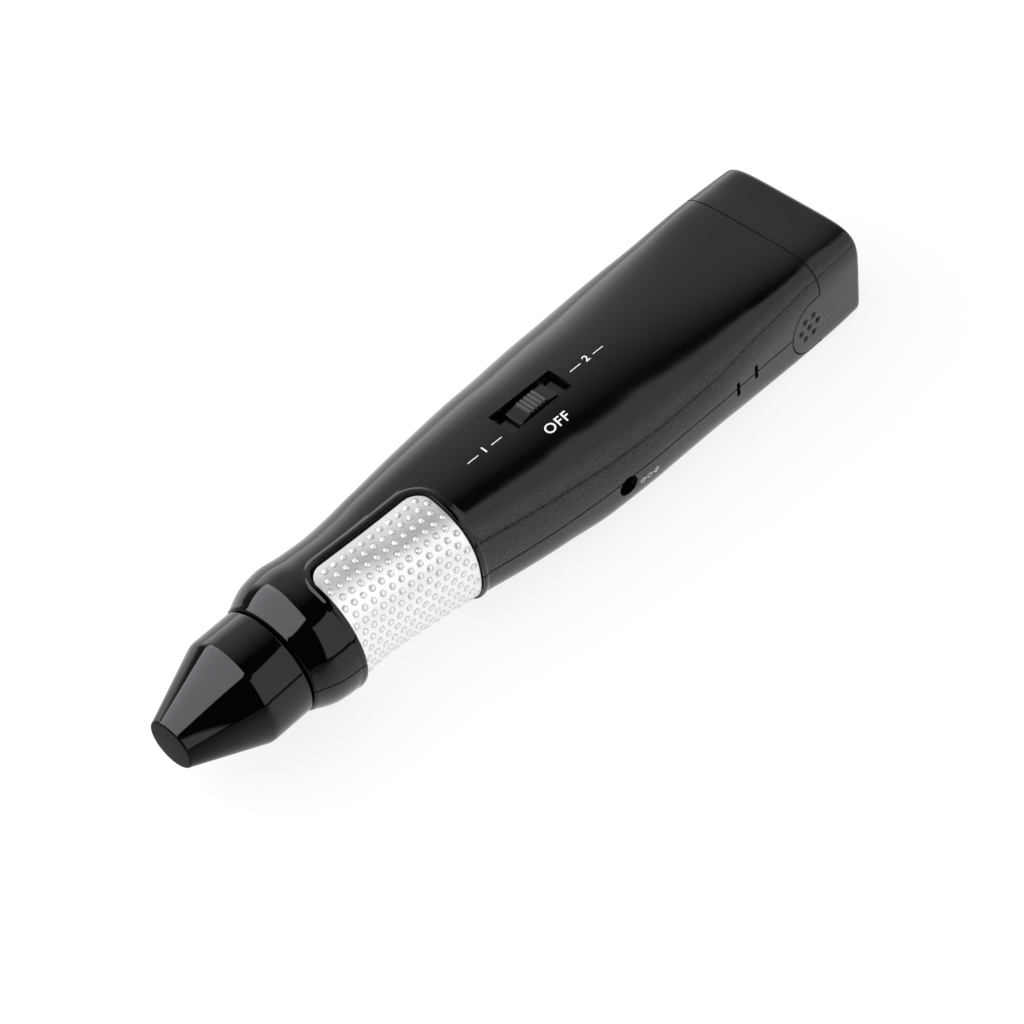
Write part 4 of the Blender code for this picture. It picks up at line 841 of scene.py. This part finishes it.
cone_low, cone_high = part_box("nose_cone")
cone_front, cone_rear = cone_low.x, cone_high.x
cone_radius = cone_high.z - nose_z
cone_corner = cone_front + (cone_radius - cone_front_radius) * cone_taper / (cap_radius - cap_tip_radius)
neck_front = collar_front - part_gap
turned("nose_cone_turned", eased([
    (cone_rear, cone_radius - flange_mouth_outer),
    (cone_rear, cone_radius - flange_step),
    (cone_rear - flange_thickness, cone_radius - flange_step),
    (cone_rear - flange_thickness, neck_radius),
    (neck_front, neck_radius),
    (neck_front, cone_radius),
    (cone_corner, cone_radius),
    (cone_front, cone_front_radius),
    (cone_front, socket_radius),
    (cone_front + socket_depth, socket_radius),
    (cone_front + socket_depth, throat_radius),
    (cone_front + chamber_depth, chamber_radius),
    (cone_rear, cone_radius - flange_mouth_inner),
], cone_ease), "housing", "nose_cone", charcoal_abs)

# Acrylic ring: clear, with a faint cool tint and a polished face.
acrylic, tree, shader = material("clear_acrylic", "eef3f5", 0.06, ior=1.49)
shader.inputs["Transmission Weight"].default_value = 0.9
grain(tree, shader, 0.0008, 0.00001, 0.05, 0.04, 0.09)
light_outer = 0.0033
light_inner = 0.0023
light_edge = 0.0002
low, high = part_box("light_ring")
turned("light_ring_turned", [
    (high.x, light_outer),
    (low.x + light_edge, light_outer),
    (low.x, light_outer - light_edge),
    (low.x, light_inner + light_edge),
    (low.x + light_edge, light_inner),
    (high.x, light_inner),
], "housing", "light_ring", acrylic)

# Turned brass: warm, with a 0.2 mm shimmer left by the lathe.
brass, tree, shader = material("turned_brass", "d9b56a", 0.28, metallic=1.0)
grain(tree, shader, 0.0002, 0.00001, 0.15, 0.22, 0.34)
barrel_radius = 0.0020
barrel_rear_edge = 0.0002
barrel_front_edge = 0.0003
barrel_end = 0.0010
barrel_plug = 0.0040
barrel_bore = 0.0013
pin_hole = 0.0009
low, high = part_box("probe_barrel")
turned("probe_barrel_turned", [
    (high.x, 0.0),
    (high.x, barrel_radius - barrel_rear_edge),
    (high.x - barrel_rear_edge, barrel_radius),
    (low.x + barrel_front_edge, barrel_radius),
    (low.x, barrel_radius - barrel_front_edge),
    (low.x, pin_hole),
    (low.x + barrel_end, pin_hole),
    (low.x + barrel_end, barrel_bore),
    (high.x - barrel_plug, barrel_bore),
    (high.x - barrel_plug, 0.0),
], "housing", "probe_barrel", brass, sides=64)

# Drawn copper: a warm bright pin, worn round at its point.
copper, tree, shader = material("drawn_copper", "d98a63", 0.25, metallic=1.0)
grain(tree, shader, 0.0003, 0.00001, 0.1, 0.18, 0.30)
pin_radius = 0.0006
pin_collar = 0.0020
pin_collar_radius = 0.00105
pin_steps = 6
low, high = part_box("probe_tip")
pin_line = [(high.x, 0.0), (high.x, pin_collar_radius), (high.x - pin_collar, pin_collar_radius),
            (high.x - pin_collar, pin_radius)]
pin_line += arc(low.x + pin_radius, 0, pin_radius, 90, 180, pin_steps)[:-1] + [(low.x, 0.0)]
turned("probe_tip_drawn", pin_line, "probe", "probe_tip", copper, sides=48)

# Oiled spring wire: drawn steel, a little grey. The pin presses the coil 1.2 mm shorter against
# the barrel's plug.
spring_wire, tree, shader = material("oiled_spring_wire", "9a9c9e", 0.3, metallic=1.0)
grain(tree, shader, 0.0002, 0.00001, 0.1, 0.24, 0.36)
wire_radius = 0.0002
wire_sides = 8
coil_turns = 8
coil_steps = 24
low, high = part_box("probe_spring")
coil_radius = (high.z - low.z) / 2 - wire_radius
coil_run = high.x - low.x - 2 * wire_radius
bm = bmesh.new()
coil = []
for i in range(coil_turns * coil_steps + 1):
    turn = 2 * math.pi * i / coil_steps
    middle_x = low.x + wire_radius + coil_run * i / (coil_turns * coil_steps)
    coil.append([bm.verts.new((middle_x + x, reach * math.cos(turn), nose_z + reach * math.sin(turn)))
                 for reach, x in arc(coil_radius, 0, wire_radius, 0, 360, wire_sides)[:-1]])
for a, b in zip(coil, coil[1:]):
    for k in range(wire_sides):
        bm.faces.new((a[k - 1], a[k], b[k], b[k - 1]))
bm.faces.new(coil[0])
bm.faces.new(coil[-1])
spring = add("probe_spring_coiled", bm, crease=50)
spring.data.materials.append(spring_wire)
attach(spring, "housing")
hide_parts("probe_spring")
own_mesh(spring)

# Nose cap
# A pull-off cup moulded in black ABS and polished outside. Its front is cut flat, its cone
# blends into a plain cylinder, and the open rear edge is broken by a small radius.
cap_low, cap_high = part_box("nose_cap")
cap_front, cap_rear = cap_low.x, cap_high.x
cap_wall = 0.0012
cap_tip_wall = 0.0016
cap_edge = 0.0005
cap_edge_width = 1.15 * cap_edge
mouth_step = 0.0004
mouth_ease = 0.0003
shoulder_ease = 0.0008
shoulder_run = 0.003
shoulder_steps = 12
cap_cone_length = 0.0153
cap_cone_rear = cap_front + cap_cone_length
cap_bore = cap_radius - cap_wall
cap_slope = (cap_radius - cap_tip_radius) / (cap_cone_rear - cap_front - cap_edge)
cap_skin = cap_wall * math.sqrt(1 + cap_slope ** 2)
inner_tip = cap_tip_radius - cap_skin + (cap_tip_wall - cap_wall) * cap_slope
inner_front = cap_front + cap_tip_wall
inner_corner = inner_front + (cap_bore - inner_tip) / cap_slope
outer_line = eased([
    (cap_rear, cap_bore + mouth_step),
    (cap_rear, cap_radius),
    (cap_cone_rear, cap_radius),
], mouth_ease)[:-1]
outer_line += eased([
    (cap_cone_rear + shoulder_run, cap_radius),
    (cap_cone_rear, cap_radius),
    (cap_front + cap_edge, cap_tip_radius),
], shoulder_ease, shoulder_steps)
for i in range(1, edge_steps + 1):
    a = math.pi / 2 * i / edge_steps
    outer_line.append((cap_front + cap_edge * (1 - math.sin(a)),
                       cap_tip_radius - cap_edge_width * (1 - math.cos(a))))
inner_line = [(inner_front, 0.0), (inner_front, inner_tip), (inner_corner, cap_bore), (cap_rear, cap_bore)]
turned("nose_cap_moulded", inner_line + outer_line + [(cap_front, 0.0)], "cap", "nose_cap",
       polished_abs)

# Printed marks
# White ink pad-printed on the case: the two position numbers between dashes, OFF between them,
# and the plain polarity sign behind the power inlet.
ink_lift = 0.00004
capital_share = 0.73
bold_share = 0.012
letter_space = 1.12
# Piece, words, height of a capital, stretch, place behind the switch, distance down the side.
words_printed = (
    ("mark_1", "\N{EM DASH} 1 \N{EM DASH}", 0.0016, 1.25, -0.0148, 0.0036),
    ("mark_off", "OFF", 0.0021, 1.15, -0.0005, 0.0088),
    ("mark_2", "\N{EM DASH} 2 \N{EM DASH}", 0.0016, 1.25, 0.0148, 0.0018),
)
# Pad-printed ink: an opaque satin white, slightly uneven.
ink, tree, shader = material("pad_printed_white_ink", "efefee", 0.45, ior=1.48)
grain(tree, shader, 0.0002, 0.00001, 0.2, 0.38, 0.55)


def printed(name, mesh, x, distance):
    """Lays a flat mesh, drawn toward +X and +Y, on the case that far from the top's middle."""
    wraps = {}
    bm = bmesh.new()
    bm.from_mesh(mesh)
    for vert in bm.verts:
        # Points in the same hundredth of a millimetre share one wrap.
        key = round(vert.co.x * 1e5)
        if key not in wraps:
            wraps[key] = wrap(x + vert.co.x)
        place, normal = on_wrap(wraps[key], distance - vert.co.y)
        vert.co = place + normal * (ink_lift + vert.co.z)
    mark = add(name, bm)
    mark.data.materials.append(ink)
    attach(mark, "housing")


def lettered(name, words, size, stretch, x, distance):
    """Bold sans capitals of a real height, centred at x, their foot that far down the side."""
    curve = bpy.data.curves.new(name, "FONT")
    curve.body = words
    curve.size = size / capital_share
    curve.offset = size * bold_share
    curve.space_character = letter_space
    curve.align_x = "CENTER"
    curve.resolution_u = 6
    mesh = flattened(curve)
    bm = bmesh.new()
    bm.from_mesh(mesh)
    bmesh.ops.scale(bm, verts=bm.verts, vec=(stretch, 1, 1))
    bmesh.ops.triangulate(bm, faces=bm.faces)
    # Long edges are divided, so that the letters follow the case.
    bmesh.ops.subdivide_edges(bm, edges=[e for e in bm.edges if e.calc_length() > size / 3], cuts=2)
    bm.to_mesh(mesh)
    bm.free()
    printed(name, mesh, x, distance)


for name, words, size, stretch, behind, down in words_printed:
    lettered(name, words, size, stretch, switch_x + behind, down)

# The polarity sign: a ring with a minus, an open ring with a dot's lead, and a ring with a plus.
sign_ring = 0.00055
sign_line = 0.00016
sign_pitch = 0.0018
sign_opening = 40
sign_steps = 28
sign_behind = 0.0054
sign_below = 0.0014
bm = bmesh.new()


def stroke(points):
    """A flat line of even width through the points."""
    sides = []
    for i, point in enumerate(points):
        a, b = points[max(i - 1, 0)], points[min(i + 1, len(points) - 1)]
        run = Vector((b[0] - a[0], b[1] - a[1], 0)).normalized()
        out = Vector((-run.y, run.x, 0)) * sign_line / 2
        middle = Vector((*point, 0))
        sides.append((bm.verts.new(middle + out), bm.verts.new(middle - out)))
    for (a, b), (c, d) in zip(sides, sides[1:]):
        bm.faces.new((a, b, d, c))


for centre, opening in ((-sign_pitch, 0), (0, sign_opening), (sign_pitch, 0)):
    stroke(arc(centre, 0, sign_ring, opening, 360 - opening, sign_steps))
for centre in (-sign_pitch, sign_pitch):
    stroke([(centre - 0.5 * sign_ring, 0), (centre + 0.5 * sign_ring, 0)])
stroke([(sign_pitch, -0.5 * sign_ring), (sign_pitch, 0.5 * sign_ring)])
stroke([(sign_ring - sign_pitch, 0), (-sign_ring, 0)])
stroke([(0, 0), (sign_pitch - sign_ring, 0)])
sign = bpy.data.meshes.new("sign")
bm.to_mesh(sign)
bm.free()
jack_wrap = wrap(jack_x)
scan_step = 0.0001
jack_down = 100 * scan_step
while on_wrap(jack_wrap, jack_down)[0].z >= jack_z:
    jack_down += scan_step
printed("mark_polarity", sign, jack_x + sign_behind, jack_down + sign_below)

# Inside the case
# What a builder would find with the case open: green boards, black chips, plated metal and soft
# leads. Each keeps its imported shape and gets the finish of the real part.
screw_names = tuple("%s_screw_%d" % (kind, n) for kind in ("board", "shell") for n in (1, 2, 3, 4))
# Name, colour, roughness, metallic, IOR, share of light let through; the grain's spacing, depth,
# strength and roughness from and to; and the pieces.
inside_finishes = (
    # Solder resist: even glossy green with the 0.6 mm waves of the weave under it.
    ("green_solder_resist", "1d5c34", 0.35, 0.0, 1.55, 0.0, (0.0006, 0.00002, 0.15, 0.28, 0.45),
     ("main_board", "nose_board")),
    # Zinc plate: pale blue-grey metal with a soft 0.3 mm spangle.
    ("zinc_plated_steel", "b4b6ba", 0.32, 1.0, 1.5, 0.0, (0.0003, 0.00001, 0.15, 0.25, 0.42),
     ("switch_body", "capacitor") + screw_names),
    # Nylon: milky white and softly matt.
    ("white_nylon", "e2e0d8", 0.5, 0.0, 1.53, 0.0, (0.0004, 0.00001, 0.2, 0.42, 0.6),
     ("probe_bush", "ribbon_lead")),
    # Moulded epoxy: dull near-black with the mould's 0.2 mm grain.
    ("moulded_black_epoxy", "1c1c1d", 0.55, 0.0, 1.55, 0.0, (0.0002, 0.00001, 0.4, 0.48, 0.64),
     ("main_chip", "regulator", "buzzer", "dc_jack", "battery_clip", "lead_black")),
    # Lamp epoxy, cast clear: half see-through violet with a wet gloss.
    ("violet_lamp_epoxy", "9c8fe0", 0.12, 0.0, 1.53, 0.5, (0.0008, 0.00001, 0.05, 0.08, 0.16), ("uv_led",)),
    # Lamp epoxy, dyed: deep red with a wet gloss.
    ("red_lamp_epoxy", "b3141b", 0.14, 0.0, 1.53, 0.3, (0.0008, 0.00001, 0.05, 0.10, 0.2), ("signal_led",)),
    # Extruded vinyl: plain red, waxy along the lead.
    ("red_vinyl_insulation", "b01c1c", 0.4, 0.0, 1.53, 0.0, (0.0005, 0.00001, 0.1, 0.34, 0.48),
     ("lead_red",)),
    # Battery jacket: dark lacquer over rolled steel, with a slow 1 mm wave.
    ("printed_steel_jacket", "2a2c30", 0.3, 0.0, 1.5, 0.0, (0.0010, 0.00001, 0.1, 0.24, 0.38), ("battery",)),
    # Foam: flat grey with open 0.5 mm cells.
    ("open_cell_foam", "38383a", 0.95, 0.0, 1.4, 0.0, (0.0005, 0.00020, 0.8, 0.9, 1.0), ("battery_pad",)),
)


def finish(piece_name, look):
    """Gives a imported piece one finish."""
    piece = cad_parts[piece_name]
    piece.data.materials.clear()
    piece.data.materials.append(look)


for name, colour, roughness, metallic, ior, clear, pattern, piece_names in inside_finishes:
    look, tree, shader = material(name, colour, roughness, metallic=metallic, ior=ior)
    shader.inputs["Transmission Weight"].default_value = clear
    grain(tree, shader, *pattern)
    for piece_name in piece_names:
        finish(piece_name, look)
finish("plate_contact", brass)

# Floor
# A matt white table top that keeps the tester's soft shadow. Mirrored in the gloss it is white too,
# but for a painted reflection: ahead of the nose glossy rays see it painted dark, which the cap's front
# shows.
floor_reach = 1.2
floor_near = 0.24
floor_drop = 0.0001
dark_end = cad_low.x - 0.005
white_start = cad_low.x + 0.03
painted_reflection_level = 0.06
mirrored_share = 0.86
bm = bmesh.new()
floor_corners = ((-floor_reach, -floor_near), (floor_reach, -floor_near), (floor_reach, floor_reach),
                 (-floor_reach, floor_reach))
bm.faces.new([bm.verts.new((x, y, -floor_drop)) for x, y in floor_corners])
floor = add("floor", bm)
white_top = bpy.data.materials.new("matt_white_table")
white_top.use_nodes = True
tree = white_top.node_tree
tree.nodes.clear()


rays = node(tree, "ShaderNodeLightPath").outputs
place = node(tree, "ShaderNodeNewGeometry").outputs["Position"]
across = node(tree, "ShaderNodeSeparateXYZ", {0: place}).outputs["X"]
# Glossy and transmission rays see the floor ahead of the nose dark: a painted reflection.
painted_dark_reflection = node(tree, "ShaderNodeMapRange", {
    "Value": across, "From Min": dark_end, "From Max": white_start, "To Min": painted_reflection_level, "To Max": 1.0})
white = node(tree, "ShaderNodeMath", {0: rays["Is Camera Ray"], 1: painted_dark_reflection.outputs[0]},
             operation="MAXIMUM")
seen = node(tree, "ShaderNodeMath", {0: rays["Is Camera Ray"], 1: rays["Is Glossy Ray"]},
            operation="MAXIMUM")
seen = node(tree, "ShaderNodeMath", {0: seen.outputs[0], 1: rays["Is Transmission Ray"]},
            operation="MAXIMUM")
share = node(tree, "ShaderNodeMath", {0: seen.outputs[0], 1: mirrored_share}, operation="MULTIPLY")
matt = node(tree, "ShaderNodeBsdfDiffuse", {"Color": hex_colour("f6f6f6")})
glow = node(tree, "ShaderNodeEmission", {"Color": (1, 1, 1, 1), "Strength": white.outputs[0]})
both = node(tree, "ShaderNodeMixShader", {0: share.outputs[0], 1: matt.outputs[0], 2: glow.outputs[0]})
node(tree, "ShaderNodeOutputMaterial", {"Surface": both.outputs[0]})
floor.data.materials.append(white_top)

# Light
# A large cool soft lamp leans over the nose from the far left. Round the table stands a studio:
# a pale wall on the near side up to 52 degrees, a pale far side, and dark overhead and left.
lamp_way = Vector((-0.355, 0.42, 0.85)).normalized()
lamp_long = Vector((-0.24, -0.82, 0.51))
lamp_long = (lamp_long - lamp_way * lamp_long.dot(lamp_way)).normalized()
lamp_distance = 0.6
lamp_data = bpy.data.lights.new("key_lamp", "AREA")
lamp_data.shape = "RECTANGLE"
lamp_data.size = 0.60
lamp_data.size_y = 1.30
lamp_data.energy = 9.2
lamp_data.color = (0.93, 0.95, 1.0)
key_lamp = bpy.data.objects.new("key_lamp", lamp_data)
key_lamp.matrix_world = Matrix((lamp_long.cross(lamp_way), lamp_long, lamp_way)).transposed().to_4x4()
key_lamp.location = lamp_way * lamp_distance + Vector((cad_low.x, 0, nose_z))
bpy.context.scene.collection.objects.link(key_lamp)

world = bpy.data.worlds.new("studio")
bpy.context.scene.world = world
world.use_nodes = True
tree = world.node_tree
tree.nodes.clear()
direction = node(tree, "ShaderNodeTexCoord").outputs["Generated"]
toward = node(tree, "ShaderNodeSeparateXYZ", {0: direction}).outputs
near_slant = node(tree, "ShaderNodeMath", {0: toward["Y"], 1: -0.231}, operation="MULTIPLY")
near_edge = node(tree, "ShaderNodeMath", {0: toward["X"], 1: near_slant.outputs[0]}, operation="ADD")
# Part of the studio, what it follows, from where to where, its levels there, and how it changes.
# The near wall ends level above and slanted at the nose. The far side is brightest low down.
studio_parts = (
    ("near side", toward["Y"], 0.0, -0.1, 0.0, 1.0, "SMOOTHSTEP"),
    ("near top", toward["Z"], 0.784, 0.792, 1.15, 0.0, "SMOOTHSTEP"),
    ("near end", near_edge.outputs[0], -0.02, 0.02, 0.0, 1.0, "SMOOTHSTEP"),
    ("far side", toward["Y"], -0.13, 0.6, 0.0, 0.80, "LINEAR"),
    ("far low", toward["Z"], 0.55, 0.0, 0.0, 1.6, "SMOOTHSTEP"),
    ("far rise", toward["Y"], 0.2, 0.6, 0.0, 1.0, "SMOOTHSTEP"),
    ("far end", toward["X"], -0.05, 0.2, 0.06, 1.0, "SMOOTHSTEP"),
    ("above", toward["Z"], -0.02, 0.0, 0.05, 1.0, "SMOOTHSTEP"),
)
# What is made of the parts, how, and of which two.
studio_sums = (
    ("near wall", "MULTIPLY", "near side", "near top"),
    ("near wall", "MULTIPLY", "near wall", "near end"),
    ("far glow", "MULTIPLY", "far low", "far rise"),
    ("far wall", "ADD", "far side", "far glow"),
    ("far wall", "MULTIPLY", "far wall", "far end"),
    ("studio", "ADD", "near wall", "far wall"),
    ("studio", "MULTIPLY", "studio", "above"),
)
levels = {}
for part, socket, start, end, low, high, kind in studio_parts:
    spread = {"Value": socket, "From Min": start, "From Max": end, "To Min": low, "To Max": high}
    levels[part] = node(tree, "ShaderNodeMapRange", spread, interpolation_type=kind).outputs[0]
for part, kind, a, b in studio_sums:
    levels[part] = node(tree, "ShaderNodeMath", {0: levels[a], 1: levels[b]}, operation=kind).outputs[0]
rays = node(tree, "ShaderNodeLightPath").outputs
level = node(tree, "ShaderNodeMix", {"Factor": rays["Is Camera Ray"], "A": levels["studio"], "B": 1.0})
sky = node(tree, "ShaderNodeBackground", {"Color": (1, 1, 1, 1), "Strength": level.outputs[0]})
node(tree, "ShaderNodeOutputWorld", {"Surface": sky.outputs[0]})

# Camera
# Stands in front and to the left of the nose, looking down along the tester.
azimuth, elevation, roll = (math.radians(a) for a in (-40.763, 48.452, -7.845))
aim = Vector((0.0172, 0, 0.01329))
step_right = -0.009526
step_up = -0.017331
step_back = 0.66876
film = 36
zoom = 3.43564
back = Vector((math.sin(azimuth) * math.cos(elevation), -math.cos(azimuth) * math.cos(elevation),
               math.sin(elevation)))
level_right = Vector((math.cos(azimuth), math.sin(azimuth), 0))
level_up = back.cross(level_right)
right = level_right * math.cos(roll) + level_up * math.sin(roll)
up = level_up * math.cos(roll) - level_right * math.sin(roll)
camera_data = bpy.data.cameras.new("camera")
camera_data.sensor_width = film
camera_data.lens = film * zoom
camera = bpy.data.objects.new("camera", camera_data)
camera.matrix_world = Matrix((right, up, back)).transposed().to_4x4()
camera.location = aim + right * step_right + up * step_up + back * step_back
bpy.context.scene.collection.objects.link(camera)
bpy.context.scene.camera = camera
bpy.context.scene.view_settings.view_transform = "Standard"
